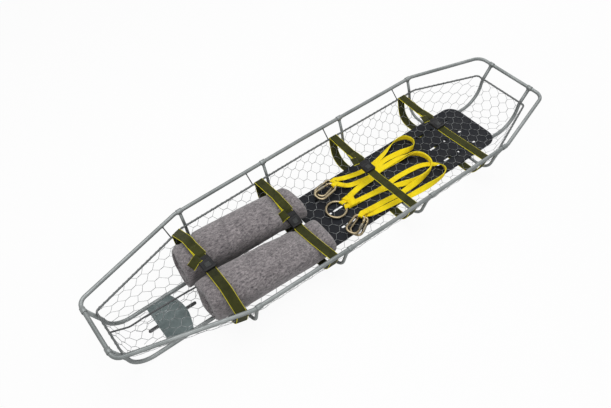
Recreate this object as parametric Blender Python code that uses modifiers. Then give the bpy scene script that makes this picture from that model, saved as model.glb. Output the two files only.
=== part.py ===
"""Basket stretcher: a wire litter with restraint straps, two rolled blankets and a lifting bridle.

Metres, +Z up. +X points to the head end and +Y to the far side; the runners stand on z = 0.
"""

import math

import bmesh
import bpy
from mathutils import Matrix, Vector

# Gap between pieces that touch
CLEAR = 0.0003

# Radii of the frame's tubes and rods, and the sleeves that join them
TUBE_R = 0.008
RIB_R = 0.0065
ROD_R = 0.004
KEEPER_R = 0.0025
DIVIDER_R = 0.00325
SLEEVE_R = 0.0105
SLEEVE_LENGTH = 0.024
SLEEVE_SIDES = 12

# Top rail: height of its centre line, end tubes and half-widths
RAIL_Z = 0.204
END_X = 1.058
HEAD_Y = 0.184
HEAD_BEND_Y = 0.290
BELLY_X = 0.040
BELLY_Y = 0.2865
FOOT_BEND_Y = 0.270
FOOT_Y = 0.137
HEAD_CORNER_R = 0.050
FOOT_CORNER_R = 0.040
BEND_R = 0.050

# Ribs: places along the frame, and their section
RIB_X = (-0.576, -0.170, 0.249, 0.671)
RIB_TO_BEND = 0.022
RIB_KNEE_IN = 0.0212
RIB_FLOOR_IN = 0.048
RIB_KNEE_R = 0.100
RIB_BILGE_R = 0.070

# Lower rail and its end corners
LOWER_Z = 0.147
LOWER_HEAD_Y = 0.140
LOWER_FOOT_Y = 0.106
LOWER_CORNER_R = 0.015
KEEPER_TOP = (0.089, 0.089, 0.095, 0.104)
KEEPER_FOOT = (0.076, 0.079, 0.086, 0.089)

# Runners: distance from the middle at each end, and the side view of each upturned end (x, z, radius)
RUNNER_FOOT_Y = 0.096
RUNNER_HEAD_Y = 0.112
RUNNER_HEAD = ((1.002, TUBE_R, 0.100), (1.012, 0.132, 0.060))
RUNNER_FOOT = ((1.000, TUBE_R, 0.088), (1.020, 0.100, 0.100))

# Back board
BOARD_FOOT_X = -0.150
BOARD_HEAD_X = 0.857
BOARD_HALF = 0.148
BOARD_T = 0.005
BOARD_HEAD_R = 0.060
BOARD_FOOT_R = 0.015
SLOT_ROWS = (0.088, -0.003, -0.091)
SLOT_WIDTH = 0.011
LONG_SLOT = 0.053
LONG_SLOT_X = (0.005, 0.582)
SHORT_SLOT = 0.020
SHORT_SLOT_X = (-0.038, 0.520, 0.655, 0.753)

# Netting: its sheet stands in for the twisted wire
NET_T = 0.002
NET_STRAND = 0.0052
NET_GAP = 0.0012
NET_WALL_LEAN = 0.028
NET_END_LEAN = 0.042
NET_BILGE_R = 0.070
NET_FLOOR_IN = 0.093
NET_FLOOR_FOOT = -0.932
NET_FLOOR_HEAD = 0.915

# Leg divider: side view from the foot end (x, z, radius)
DIVIDER = (
    (-0.956, 0.109, 0.030),
    (-0.900, 0.112, 0.200),
    (-0.751, 0.105, 0.400),
    (-0.564, 0.090, 0.400),
    (-0.393, 0.083, 0.400),
    (-0.180, 0.074, 0.025),
)

# Foot plate between the runners, and the bar under it
PLATE_FOOT_X = -0.865
PLATE_HEAD_X = -0.765
PLATE_BULGE = 0.022
PLATE_T = 0.002
PLATE_Z = 0.011
PLATE_BAR_FOOT_X = -0.905
PLATE_BAR_HEAD_X = -0.700
PLATE_BAR_WIDTH = 0.013
PLATE_BAR_T = 0.0045

# Restraint straps
STRAP_WIDTH = 0.040
STRAP_T = 0.0016
STRAP_TO_RIB = (0.050, 0.049, 0.060, 0.062)
# For each strap: where its buckle's mouth is along Y, then the corners of its run over the near side
# and over the far side (y, z, radius), counted from the buckle outwards
STRAPS = (
    (-0.001, ((-0.137, 0.209, 0.050),), ((0.120, 0.222, 0.060),)),
    (0.021, ((-0.030, 0.110, 0.020), (-0.120, 0.124, 0.100)), ((0.118, 0.167, 0.050),)),
    (0.044, ((-0.020, 0.1375, 0.300),), ()),
    (0.044, ((-0.020, 0.1375, 0.300),), ()),
)

# Buckle: across is X, along is the strap's own line, up is away from it
BUCKLE_WIDTH = 0.048
SOCKET_LENGTH = 0.044
SOCKET_BELOW = 0.0024
SOCKET_ABOVE = 0.0110
SOCKET_GRIP = 0.007
BLADE_WIDTH = 0.030
BLADE_T = 0.0022
BLADE_LENGTH = 0.022
BLADE_UP = 0.0038
LATCH_WINDOW = (0.014, 0.008)
BUTTON = 0.020
BUTTON_T = 0.0025
BUTTON_TRAVEL = 0.003
BUTTON_PROUD = 0.0014
BUTTON_BACK = 0.023
ADJUSTER_LENGTH = 0.019
ADJUSTER_ABOVE = 0.0065
TONGUE_TRAVEL = 0.030
TAIL_LENGTH = 0.065
TAIL_T = 0.0032

# Rolled blankets: inner side, and stations (x, half-width, top of the far roll, top of the near roll)
ROLL_INNER_Y = 0.0065
ROLL_STATIONS = (
    (-0.698, 0.078, 0.196, 0.190),
    (-0.690, 0.086, 0.208, 0.200),
    (-0.660, 0.091, 0.222, 0.210),
    (-0.580, 0.096, 0.224, 0.212),
    (-0.400, 0.098, 0.200, 0.180),
    (-0.280, 0.098, 0.182, 0.146),
    (-0.160, 0.096, 0.164, 0.128),
    (-0.148, 0.091, 0.158, 0.122),
    (-0.140, 0.080, 0.146, 0.112),
)
ROLL_RINGS = (-0.698, -0.690, -0.671, -0.6515, -0.6005, -0.581, -0.500, -0.400, -0.320, -0.264, -0.2445)
ROLL_RINGS += (-0.1935, -0.174, -0.148, -0.140)
ROLL_SIDES = 20
ROLL_DIP = 0.017
ROLL_SQUARE = 2.4
ROLL_GRAIN = 0.030
DENT_HALF = 0.0255
DENT_SLOPE = 0.8

# Bridle: ring, carabiners and webbing
RING_R = 0.0435
RING_BAR_R = 0.0055
RING_PLACE = (-0.008, -0.008)
BAR_R = 0.0055
GATE_R = 0.0045
LOCK_R = 0.0070
LOCK_FROM = 0.020
LOCK_LENGTH = 0.030
GATE_TANG = 0.0042
GATE_PIN_R = 0.0018
GATE_HOLE_R = 0.0022
NOSE_GAP = 0.0008
# Corners of a carabiner's bar in its own plane, from the nose to the hinge (along, across, radius)
CARABINER = (
    (0.0240, -0.0265, 0.0),
    (0.0485, -0.0235, 0.018),
    (0.0485, 0.0280, 0.022),
    (-0.0485, 0.0180, 0.018),
    (-0.0485, -0.0200, 0.013),
    (-0.0300, -0.0235, 0.0),
)
# For each carabiner: middle in plan, heading of its wide end in degrees, whether its gate is turned to the near
# side, and its layer in the pile
CARABINERS = (
    ((0.030, 0.112), 190.0, False, 0),
    ((-0.004, -0.126), 204.0, True, 1),
    ((0.010, -0.133), 207.0, True, 0),
    ((0.012, 0.088), 184.0, False, 1),
)
WEB_WIDTH = 0.025
WEB_T = 0.0024
LEG_STOP = 0.0006
WEB_LIFT = 0.0029
# Routes of the bridle legs from the ring to their carabiners: x, y, layers that they lie on, and how far the
# webbing stands on edge (0 flat, 1 upright)
LEGS = (
    (
        (0.0412, 0.004, 0, 0), (0.110, 0.020, 0, 0), (0.160, 0.026, 1, 0), (0.226, 0.033, 1, 0),
        (0.285, 0.062, 1.1, 0), (0.350, 0.077, 0.5, 0), (0.425, 0.066, 0.2, 0.3), (0.468, 0.052, 0, 0.7),
        (0.502, 0.052, 0, 1), (0.525, 0.078, 0, 1), (0.519, 0.112, 0, 1), (0.488, 0.129, 0, 1),
        (0.436, 0.127, 0.2, 0.7), (0.366, 0.106, 0.2, 0.3), (0.290, 0.091, 0.1, 0), (0.216, 0.091, 0.1, 0),
        (0.144, 0.108, 0.2, 0), (0.110, 0.118, 1.5, 0),
    ),
    (
        (0.0412, 0.004, 1, 0), (0.110, 0.020, 1, 0), (0.160, 0.026, 2, 0), (0.226, 0.028, 2.1, 0),
        (0.276, 0.042, 2.3, 0), (0.340, 0.045, 1.7, 0), (0.405, 0.041, 1.9, 0.2), (0.455, 0.027, 1.5, 0.7),
        (0.488, 0.002, 1.2, 1), (0.500, -0.035, 1.2, 1), (0.492, -0.072, 1.2, 1), (0.462, -0.098, 1.2, 1),
        (0.410, -0.110, 0.7, 0.8), (0.345, -0.112, 0.3, 0.3), (0.285, -0.111, 0.4, 0), (0.241, -0.108, 0.2, 0),
        (0.185, -0.102, 1.1, 0), (0.130, -0.098, 1.2, 0), (0.085, -0.099, 4.5, 0),
    ),
    (
        (0.0412, -0.0235, 1, 0), (0.114, -0.030, 1, 0), (0.178, -0.038, 1, 0), (0.239, -0.041, 1.4, 0),
        (0.300, -0.036, 1.5, 0), (0.352, -0.035, 0.2, 0), (0.427, -0.042, 0, 0), (0.468, -0.055, 0, 0),
        (0.500, -0.077, 0, 0), (0.517, -0.106, 0.2, 0.5), (0.512, -0.138, 0.2, 1), (0.485, -0.157, 0.4, 1),
        (0.440, -0.163, 0.5, 0.9), (0.390, -0.161, 0.6, 0.6), (0.339, -0.154, 0.4, 0.2), (0.291, -0.147, 0.2, 0),
        (0.236, -0.136, 0, 0), (0.133, -0.122, 0, 0), (0.088, -0.115, 1.5, 0),
    ),
    (
        (0.0412, -0.0235, 0, 0), (0.114, -0.030, 0, 0), (0.178, -0.038, 0, 0), (0.239, -0.050, 0, 0),
        (0.296, -0.072, 0.2, 0.1), (0.350, -0.097, 0.2, 0.6), (0.400, 0.036, 0, 0.2), (0.340, 0.044, 0, 0),
        (0.276, 0.046, 0, 0), (0.233, 0.043, 0, 0),
        (0.190, 0.049, 0, 0), (0.130, 0.060, 1, 0), (0.098, 0.072, 5, 0),
    ),
)
# The fourth leg lies inside the bight of the second: where it joins it, and the second's points that it follows
INNER_LEG = 3
OUTER_LEG = 1
JOIN_AT = 6
# with how many thicknesses of webbing it keeps from them
FOLLOWED = ((12, 1.4), (11, 1.15), (10, 1.1), (9, 1.15), (8, 1.6), (7, 2.4))
# The side that the webbing's face turns to as it stands up on each leg's bight
LEG_LEANS = (-1, 1, 1, -1)
LEG_STEPS = 3
LEG_SQUARE = 0.012
ARC_STEP = math.radians(15)

PALETTE = {
    "steel": ((0.36, 0.39, 0.38), 0.45, 0.85),
    "plate": ((0.20, 0.24, 0.24), 0.50, 0.40),
    "board": ((0.018, 0.022, 0.028), 0.45, 0.0),
    "wire": ((0.42, 0.43, 0.44), 0.45, 0.85),
    "wool": ((0.17, 0.145, 0.15), 0.95, 0.0),
    "olive": ((0.055, 0.055, 0.012), 0.85, 0.0),
    "black": ((0.012, 0.012, 0.014), 0.50, 0.0),
    "button": ((0.075, 0.08, 0.078), 0.45, 0.2),
    "yellow": ((0.85, 0.60, 0.01), 0.80, 0.0),
    "zinc": ((0.62, 0.54, 0.40), 0.30, 1.0),
}


def clear_scene():
    for obj in list(bpy.data.objects):
        bpy.data.objects.remove(obj)


def collection(name):
    made = bpy.data.collections.new(name)
    bpy.context.scene.collection.children.link(made)
    return made


def paint(obj, kind):
    """Gives the object a material of its own, in the colour and finish of its kind."""
    color, roughness, metallic = PALETTE[kind]
    made = bpy.data.materials.new(obj.name)
    made.use_nodes = True
    shader = made.node_tree.nodes["Principled BSDF"]
    shader.inputs["Base Color"].default_value = (*color, 1.0)
    shader.inputs["Roughness"].default_value = roughness
    shader.inputs["Metallic"].default_value = metallic
    made.diffuse_color = (*color, 1.0)
    obj.data.materials.clear()
    obj.data.materials.append(made)
    return obj


def place(name, data, matrix=None, parent=None):
    """A new object in the parts' collection, at this matrix under its parent."""
    obj = bpy.data.objects.new(name, data)
    PARTS.objects.link(obj)
    obj.parent = parent
    obj.matrix_basis = matrix or Matrix.Identity(4)
    return obj


def empty(name, matrix):
    made = place(name, None, matrix)
    made.empty_display_size = 0.02
    return made


def mesh_from(body, name):
    mesh = bpy.data.meshes.new(name)
    bmesh.ops.recalc_face_normals(body, faces=body.faces)
    body.to_mesh(mesh)
    body.free()
    return mesh


def as_mesh(source):
    """Turns a curve object into a mesh object of the same name, with its caps welded."""
    bpy.context.view_layer.update()
    graph = bpy.context.evaluated_depsgraph_get()
    mesh = bpy.data.meshes.new_from_object(source.evaluated_get(graph))
    body = bmesh.new()
    body.from_mesh(mesh)
    bmesh.ops.remove_doubles(body, verts=body.verts, dist=1e-6)
    name = source.name
    source.name = name + "_curve"
    made = place(name, mesh_from(body, name), parent=source.parent)
    made.matrix_basis = source.matrix_basis
    bpy.data.meshes.remove(mesh)
    curve = source.data
    bpy.data.objects.remove(source)
    bpy.data.curves.remove(curve)
    return made


def combine(target, tool, operation):
    """Joins the tool to the target or cuts it out, and puts the tool away with the cutters."""
    modifier = target.modifiers.new(tool.name, "BOOLEAN")
    modifier.operation = operation
    modifier.solver = "EXACT"
    modifier.object = tool
    tool.display_type = "WIRE"
    tool.hide_render = True
    PARTS.objects.unlink(tool)
    CUTTERS.objects.link(tool)


def joined(name, pieces):
    """One object of several that don't touch each other."""
    body = bmesh.new()
    for piece in pieces:
        start = len(body.verts)
        body.from_mesh(piece.data)
        body.verts.ensure_lookup_table()
        bmesh.ops.transform(body, matrix=piece.matrix_basis, verts=body.verts[start:])
        bpy.data.objects.remove(piece)
    return place(name, mesh_from(body, name))


def cylinder(name, radius, length, middle, axis, sides=12, parent=None):
    body = bmesh.new()
    bmesh.ops.create_cone(
        body, cap_ends=True, segments=sides, radius1=radius, radius2=radius, depth=length
    )
    turn = Vector(axis).to_track_quat("Z", "Y").to_matrix().to_4x4()
    return place(name, mesh_from(body, name), Matrix.Translation(middle) @ turn, parent)


def box(name, low, high, parent=None, edge=0.0):
    """A box between two corners, its origin at its middle, with its edges rounded."""
    low = Vector(low)
    high = Vector(high)
    body = bmesh.new()
    bmesh.ops.create_cube(body, size=1.0, matrix=Matrix.Diagonal((*(high - low), 1.0)))
    made = place(name, mesh_from(body, name), Matrix.Translation((low + high) / 2), parent)
    if edge:
        modifier = made.modifiers.new("edges", "BEVEL")
        modifier.width = edge
        modifier.segments = 1
    return made


def rounded(points, radii, closed=False, step=ARC_STEP):
    """The line through these points, with its corners turned into arcs of these radii."""
    count = len(points)
    made = []
    for i, (corner, radius) in enumerate(zip(points, radii)):
        if radius == 0 or (not closed and i in (0, count - 1)):
            made.append(corner.copy())
            continue
        back = (points[i - 1] - corner).normalized()
        ahead = (points[(i + 1) % count] - corner).normalized()
        turn = math.pi - back.angle(ahead)
        if turn < 0.001:
            made.append(corner.copy())
            continue
        middle = corner + (back + ahead).normalized() * radius / math.cos(turn / 2)
        arm = corner + back * radius * math.tan(turn / 2) - middle
        axis = ahead.cross(back)
        steps = max(1, math.ceil(turn / step))
        for k in range(steps + 1):
            made.append(middle + Matrix.Rotation(turn * k / steps, 3, axis) @ arm)
    return made


def line_curve(name, points, closed=False, tilts=None):
    curve = bpy.data.curves.new(name, "CURVE")
    curve.dimensions = "3D"
    curve.twist_mode = "Z_UP"
    spline = curve.splines.new("POLY")
    spline.points.add(len(points) - 1)
    for i, spot in enumerate(points):
        spline.points[i].co = (*spot, 1.0)
        spline.points[i].tilt = tilts[i] if tilts else 0.0
    spline.use_cyclic_u = closed
    return curve


def tube(name, points, radius, sides=8, closed=False, parent=None):
    curve = line_curve(name, points, closed)
    curve.bevel_depth = radius
    curve.bevel_resolution = sides // 2 - 2
    curve.use_fill_caps = True
    return as_mesh(place(name, curve, parent=parent))


def ribbon(name, points, width, thickness, tilts):
    """A flat band along the points, with its width standing up where its tilt is 0."""
    curve = line_curve(name, points, tilts=tilts)
    curve.extrude = width / 2
    made = as_mesh(place(name, curve))
    modifier = made.modifiers.new("thickness", "SOLIDIFY")
    modifier.thickness = thickness
    modifier.offset = 0.0
    modifier.use_even_offset = True
    return made


def band(name, line, x, width, thickness):
    """A strap of this width along X, about a line in the (y, z) plane."""
    curve = bpy.data.curves.new(name, "CURVE")
    curve.dimensions = "2D"
    curve.fill_mode = "NONE"
    curve.extrude = width / 2
    spline = curve.splines.new("POLY")
    spline.points.add(len(line) - 1)
    for point, spot in zip(spline.points, line):
        point.co = (spot.y, spot.z, 0.0, 1.0)
    made = as_mesh(place(name, curve))
    made.data.transform(Matrix(((0, 0, 1, x), (1, 0, 0, 0), (0, 1, 0, 0), (0, 0, 0, 1))))
    modifier = made.modifiers.new("thickness", "SOLIDIFY")
    modifier.thickness = thickness
    modifier.offset = 0.0
    modifier.use_even_offset = True
    return made


def sheet(name, outline, thickness, height, holes=()):
    """A flat plate: its outline and holes in plan, filled and extruded about this height."""
    curve = bpy.data.curves.new(name, "CURVE")
    curve.dimensions = "2D"
    curve.fill_mode = "BOTH"
    curve.extrude = thickness / 2
    for loop in (outline, *holes):
        spline = curve.splines.new("POLY")
        spline.points.add(len(loop) - 1)
        for point, spot in zip(spline.points, loop):
            point.co = (spot.x, spot.y, 0.0, 1.0)
        spline.use_cyclic_u = True
    return as_mesh(place(name, curve, Matrix.Translation((0, 0, height))))


def rounded_slot(middle, length, width):
    """Outline of a slot along X with round ends."""
    x = length / 2
    y = width / 2
    signs = ((1, -1), (1, 1), (-1, 1), (-1, -1))
    corners = [Vector((middle[0] + sx * x, middle[1] + sy * y, 0)) for sx, sy in signs]
    return rounded(corners, [y * 0.999] * 4, closed=True, step=math.radians(45))


def level(stations, x):
    """Straight-line value at x of a list of (x, value) pairs in rising x."""
    for (x0, v0), (x1, v1) in zip(stations, stations[1:]):
        if x <= x1 or (x1, v1) == stations[-1]:
            return v0 + (v1 - v0) * (x - x0) / (x1 - x0)
    raise ValueError(x)


def along(points, share):
    """The point at this share of a line's length."""
    lengths = [(b - a).length for a, b in zip(points, points[1:])]
    left = share * sum(lengths)
    for a, b, length in zip(points, points[1:], lengths):
        if left <= length:
            return a.lerp(b, left / length)
        left -= length
    return points[-1].copy()


# Frame: plan of the rails


def head_bend_x():
    return RIB_X[3] + RIB_TO_BEND


def foot_bend_x():
    return RIB_X[0] - RIB_TO_BEND


def rail_stations():
    """Half-width of the top rail from the foot end to the head end."""
    return (
        (-END_X, FOOT_Y),
        (foot_bend_x(), FOOT_BEND_Y),
        (BELLY_X, BELLY_Y),
        (head_bend_x(), HEAD_BEND_Y),
        (END_X, HEAD_Y),
    )


def lower_in():
    """How far inside the top rail the lower rail lies, resting against the ribs' knees."""
    upper = math.atan2(RIB_KNEE_IN, RAIL_Z - LOWER_Z)
    lower = math.atan2(RIB_FLOOR_IN - RIB_KNEE_IN, LOWER_Z - rib_floor_z())
    return RIB_KNEE_IN + (RIB_R + ROD_R + CLEAR) / math.cos((upper + lower) / 2)


def inside_runner(low, high):
    """X of a lower rail end that rests against this upturned leg of the runners."""
    lean = math.atan2(high[0] - low[0], high[1] - low[1])
    on_axis = low[0] + (LOWER_Z - low[1]) * math.tan(lean)
    return on_axis - (TUBE_R + ROD_R + CLEAR) / math.cos(lean)


def lower_stations():
    middle = [(x, y - lower_in()) for x, y in rail_stations()[1:-1]]
    foot_x = -inside_runner(RUNNER_FOOT[1], (END_X, RAIL_Z))
    head_x = inside_runner(RUNNER_HEAD[1], (END_X, RAIL_Z))
    return ((foot_x, LOWER_FOOT_Y), *middle, (head_x, LOWER_HEAD_Y))


def rib_floor_z():
    return 2 * TUBE_R + CLEAR + RIB_R


def runner_y(x):
    return level(((-END_X, RUNNER_FOOT_Y), (END_X, RUNNER_HEAD_Y)), x)


def board_top_z():
    return rib_floor_z() + RIB_R + CLEAR + BOARD_T


def net_z():
    return board_top_z() + CLEAR + NET_T / 2


def net_top_z():
    """The face of the net's floor that things lie on."""
    return net_z() + NET_T / 2


def plan_loop(stations, height, end_radii, bend_radius):
    """Closed line round both sides of the frame at one height."""
    far = [Vector((x, y, height)) for x, y in stations]
    near = [Vector((x, -y, height)) for x, y in reversed(stations)]
    radii = [end_radii[0]] + [bend_radius] * (len(far) - 2) + [end_radii[1]]
    return rounded(far + near, radii + radii[::-1], closed=True)


def rail_direction(x, side):
    step = 0.001
    rise = level(rail_stations(), x + step) - level(rail_stations(), x - step)
    return Vector((2 * step, side * rise, 0)).normalized()


def sleeves(target, spots):
    """Joins a sleeve to the tube at each spot on a rail (place, direction), and bores it for that rail."""
    outer = []
    bores = []
    bore = (TUBE_R + CLEAR) / math.cos(math.pi / SLEEVE_SIDES)
    for middle, axis in spots:
        outer.append(cylinder("ring", SLEEVE_R, SLEEVE_LENGTH, middle, axis, SLEEVE_SIDES))
        bores.append(cylinder("bore", bore, 2 * SLEEVE_LENGTH, middle, axis, SLEEVE_SIDES))
    combine(target, joined(target.name + "_sleeves", outer), "UNION")
    combine(target, joined(target.name + "_bores", bores), "DIFFERENCE")


def make_rails():
    line = plan_loop(rail_stations(), RAIL_Z, (FOOT_CORNER_R, HEAD_CORNER_R), BEND_R)
    paint(tube("top_rail", line, TUBE_R, 8, closed=True), "steel")

    line = plan_loop(lower_stations(), LOWER_Z, (LOWER_CORNER_R, LOWER_CORNER_R), BEND_R)
    lower = tube("lower_rail", line, ROD_R, 8, closed=True)
    keepers = []
    for rib, keeper_foot, keeper_top in zip(RIB_X, KEEPER_FOOT, KEEPER_TOP):
        for side in (1, -1):
            foot_x = rib - keeper_foot
            top_x = rib - keeper_top
            foot = Vector((foot_x, side * level(lower_stations(), foot_x), LOWER_Z))
            top = Vector((top_x, side * level(rail_stations(), top_x), RAIL_Z))
            run = top - foot
            length = run.length - TUBE_R - CLEAR
            keepers.append(
                cylinder("keeper", KEEPER_R, length, foot + run.normalized() * length / 2, run, 6)
            )
    combine(lower, joined("keepers", keepers), "UNION")
    paint(lower, "steel")


def make_rib(number, x):
    half = level(rail_stations(), x)
    side = [
        Vector((x, half, RAIL_Z)),
        Vector((x, half - RIB_KNEE_IN, LOWER_Z)),
        Vector((x, half - RIB_FLOOR_IN, rib_floor_z())),
    ]
    other = [Vector((p.x, -p.y, p.z)) for p in reversed(side)]
    radii = [0, RIB_KNEE_R, RIB_BILGE_R, RIB_BILGE_R, RIB_KNEE_R, 0]
    rib = tube(f"rib_{number}", rounded(side + other, radii), RIB_R, 8)
    sleeves(rib, [(Vector((x, s * half, RAIL_Z)), rail_direction(x, s)) for s in (1, -1)])
    paint(rib, "steel")


def make_runner(name, side):
    shape = [(-END_X, RAIL_Z, 0)]
    shape += [(-x, z, r) for x, z, r in reversed(RUNNER_FOOT)]
    shape += list(RUNNER_HEAD)
    shape += [(END_X, RAIL_Z, 0)]
    corners = [Vector((x, side * runner_y(x), z)) for x, z, _ in shape]
    runner = tube(name, rounded(corners, [r for _, _, r in shape]), TUBE_R, 8)
    sleeves(runner, [(corners[0], (0, 1, 0)), (corners[-1], (0, 1, 0))])
    paint(runner, "steel")


def make_divider():
    end_x = lower_stations()[0][0]
    first = Vector((DIVIDER[0][0], 0, DIVIDER[0][1]))
    rail = Vector((end_x, 0, LOWER_Z))
    start = rail + (first - rail).normalized() * (ROD_R + CLEAR)
    foot = Vector((RIB_X[1], 0, rib_floor_z() + RIB_R + CLEAR))
    corners = [start] + [Vector((x, 0, z)) for x, z, _ in DIVIDER] + [foot]
    radii = [0] + [r for _, _, r in DIVIDER] + [0]
    paint(tube("leg_divider", rounded(corners, radii), DIVIDER_R, 8), "steel")


def make_foot_plate():
    reach = TUBE_R * math.cos(math.asin((PLATE_Z - PLATE_T / 2 - TUBE_R) / TUBE_R)) + CLEAR
    corners = [
        Vector((x, side * (runner_y(x) - reach), 0))
        for x, side in ((PLATE_FOOT_X, -1), (PLATE_HEAD_X, -1), (PLATE_HEAD_X, 1), (PLATE_FOOT_X, 1))
    ]
    edge = [corners[0]]
    for k in range(9):
        share = k / 8
        bulge = PLATE_BULGE * math.sin(math.pi * share)
        edge.append(corners[1].lerp(corners[2], share) + Vector((bulge, 0, 0)))
    edge.append(corners[3])
    paint(sheet("foot_plate", edge, PLATE_T, PLATE_Z), "plate")

    middle = ((PLATE_BAR_FOOT_X + PLATE_BAR_HEAD_X) / 2, 0)
    outline = rounded_slot(middle, PLATE_BAR_HEAD_X - PLATE_BAR_FOOT_X, PLATE_BAR_WIDTH)
    height = PLATE_Z - PLATE_T / 2 - CLEAR - PLATE_BAR_T / 2
    paint(sheet("foot_plate_bar", outline, PLATE_BAR_T, height), "plate")


def make_board():
    corners = [
        Vector((BOARD_FOOT_X, -BOARD_HALF, 0)),
        Vector((BOARD_HEAD_X, -BOARD_HALF, 0)),
        Vector((BOARD_HEAD_X, BOARD_HALF, 0)),
        Vector((BOARD_FOOT_X, BOARD_HALF, 0)),
    ]
    radii = [BOARD_FOOT_R, BOARD_HEAD_R, BOARD_HEAD_R, BOARD_FOOT_R]
    holes = [rounded_slot((x, y), LONG_SLOT, SLOT_WIDTH) for x in LONG_SLOT_X for y in SLOT_ROWS]
    holes += [rounded_slot((x, y), SHORT_SLOT, SLOT_WIDTH) for x in SHORT_SLOT_X for y in SLOT_ROWS]
    edge = rounded(corners, radii, closed=True)
    board = sheet("back_board", edge, BOARD_T, board_top_z() - BOARD_T / 2, holes)
    paint(board, "board")


# Netting


def net_point(inner, outer, lean, share):
    """A point of the net's section between its floor edge and the lower rail, at this share of the way up."""
    out = outer - inner
    reach = out.length
    top = LOWER_Z - ROD_R - 2 * CLEAR
    corners = [Vector((0, 0, 0)), Vector((reach - lean, 0, 0)), Vector((reach, 0, top - net_z()))]
    spot = along(rounded(corners, [0, NET_BILGE_R, 0], step=math.radians(10)), share)
    flat = inner + out * (spot.x / reach)
    return Vector((flat.x, flat.y, net_z() + spot.z))


def hexagons(rows, columns, length, height):
    """Hexagon cells over a flat rectangle, cut off straight at its edges, with none less than a half."""
    pitch = length / (rows - 1 / 3)
    cell = height / columns
    size = Matrix.Diagonal((pitch * 2 / 3, cell / 2 / math.cos(math.pi / 6), 1, 1))
    turn = Matrix.Rotation(math.pi / 2, 4, "Z")
    body = bmesh.new()
    for row in range(rows):
        shift = 0.5 if row % 2 == 0 else 0.0
        for k in range(math.ceil(columns) + 1):
            spot = Matrix.Translation((pitch * (row + 1 / 3), cell * (k + shift), 0))
            bmesh.ops.create_circle(
                body, cap_ends=True, segments=6, radius=1.0, matrix=spot @ size @ turn
            )
    bmesh.ops.remove_doubles(body, verts=body.verts, dist=1e-5)
    cuts = (
        ((0, 0, 0), (-1, 0, 0)),
        ((length, 0, 0), (1, 0, 0)),
        ((0, 0, 0), (0, -1, 0)),
        ((0, height, 0), (0, 1, 0)),
    )
    for spot, normal in cuts:
        geometry = body.verts[:] + body.edges[:] + body.faces[:]
        bmesh.ops.bisect_plane(
            body, geom=geometry, dist=1e-6, plane_co=spot, plane_no=normal, clear_outer=True
        )
    bmesh.ops.remove_doubles(body, verts=body.verts, dist=1e-5)
    return body


def make_net(name, rows, columns, length, height, surface):
    """A panel of hexagon netting on a surface that is given by its two shares, along and across."""
    body = hexagons(rows, columns, length, height)
    cells = body.faces[:]
    bmesh.ops.inset_individual(body, faces=cells, thickness=NET_STRAND / 2, use_even_offset=True)
    bmesh.ops.delete(body, geom=cells, context="FACES")
    for vert in body.verts:
        vert.co = surface(vert.co.x / length, vert.co.y / height)
    net = place(name, mesh_from(body, name))
    modifier = net.modifiers.new("thickness", "SOLIDIFY")
    modifier.thickness = NET_T
    modifier.offset = 0.0
    paint(net, "wire")


def floor_half(x):
    return level(lower_stations(), x) - NET_FLOOR_IN


def floor_surface(u, v):
    x = NET_FLOOR_FOOT + (NET_FLOOR_HEAD - NET_FLOOR_FOOT) * u
    return Vector((x, (2 * v - 1) * floor_half(x), net_z()))


def side_surface(side, inner_x, outer_x, last_lean=NET_WALL_LEAN):
    """Surface of a side panel between two places along the floor and along the lower rail."""

    def surface(u, v):
        x_in = inner_x[0] + (inner_x[1] - inner_x[0]) * u
        x_out = outer_x[0] + (outer_x[1] - outer_x[0]) * u
        inner = Vector((x_in, side * (floor_half(x_in) + NET_GAP), 0))
        outer = Vector((x_out, side * level(lower_stations(), x_out), 0))
        return net_point(inner, outer, NET_WALL_LEAN + (last_lean - NET_WALL_LEAN) * u, v)

    return surface


def end_surface(floor_x, rail_x, rail_y, out):
    """Surface of an end panel, from the floor's end edge to the lower rail's end."""

    def surface(u, v):
        inner = Vector((floor_x + out * NET_GAP, (2 * u - 1) * (floor_half(floor_x) - NET_GAP), 0))
        outer = Vector((rail_x, (2 * u - 1) * rail_y, 0))
        return net_point(inner, outer, NET_END_LEAN, v)

    return surface


def make_netting():
    width = 2 * floor_half(0)
    girth = 0.162
    make_net("net_floor", 18, 2.5, NET_FLOOR_HEAD - NET_FLOOR_FOOT, width, floor_surface)
    bend_foot = foot_bend_x() + NET_GAP
    bend_head = head_bend_x() - NET_GAP
    foot_x, foot_y = lower_stations()[0]
    head_x, head_y = lower_stations()[-1]
    corner = LOWER_CORNER_R * 0.3
    for label, side in (("far", 1), ("near", -1)):
        middle = side_surface(side, (bend_foot, bend_head), (bend_foot, bend_head))
        make_net(f"net_side_{label}", 12, 1.5, bend_head - bend_foot, girth, middle)
        head_in = (head_bend_x() + NET_GAP, NET_FLOOR_HEAD)
        head_out = (head_bend_x() + NET_GAP, head_x - corner)
        head = side_surface(side, head_in, head_out, NET_END_LEAN)
        make_net(f"net_head_{label}", 3, 1.5, 0.26, girth, head)
        foot_in = (foot_bend_x() - NET_GAP, NET_FLOOR_FOOT)
        foot_out = (foot_bend_x() - NET_GAP, foot_x + corner)
        foot = side_surface(side, foot_in, foot_out, NET_END_LEAN)
        make_net(f"net_foot_{label}", 4, 1.5, 0.36, girth, foot)
    head_end = end_surface(NET_FLOOR_HEAD, head_x, head_y - 2 * corner, 1)
    make_net("net_head_end", 2, 1.5, 0.19, girth, head_end)
    foot_end = end_surface(NET_FLOOR_FOOT, foot_x, foot_y - 2 * corner, -1)
    make_net("net_foot_end", 2, 1.5, 0.14, girth, foot_end)


# Straps and buckles; their lines are drawn in the (y, z) plane


def strap_x(number):
    return RIB_X[number] - STRAP_TO_RIB[number]


def strap_skew(number, x):
    """How far out the strap lies at this x, as a share of its middle: it follows the slant of the lower rail."""
    return level(lower_stations(), x) / level(lower_stations(), strap_x(number))


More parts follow.
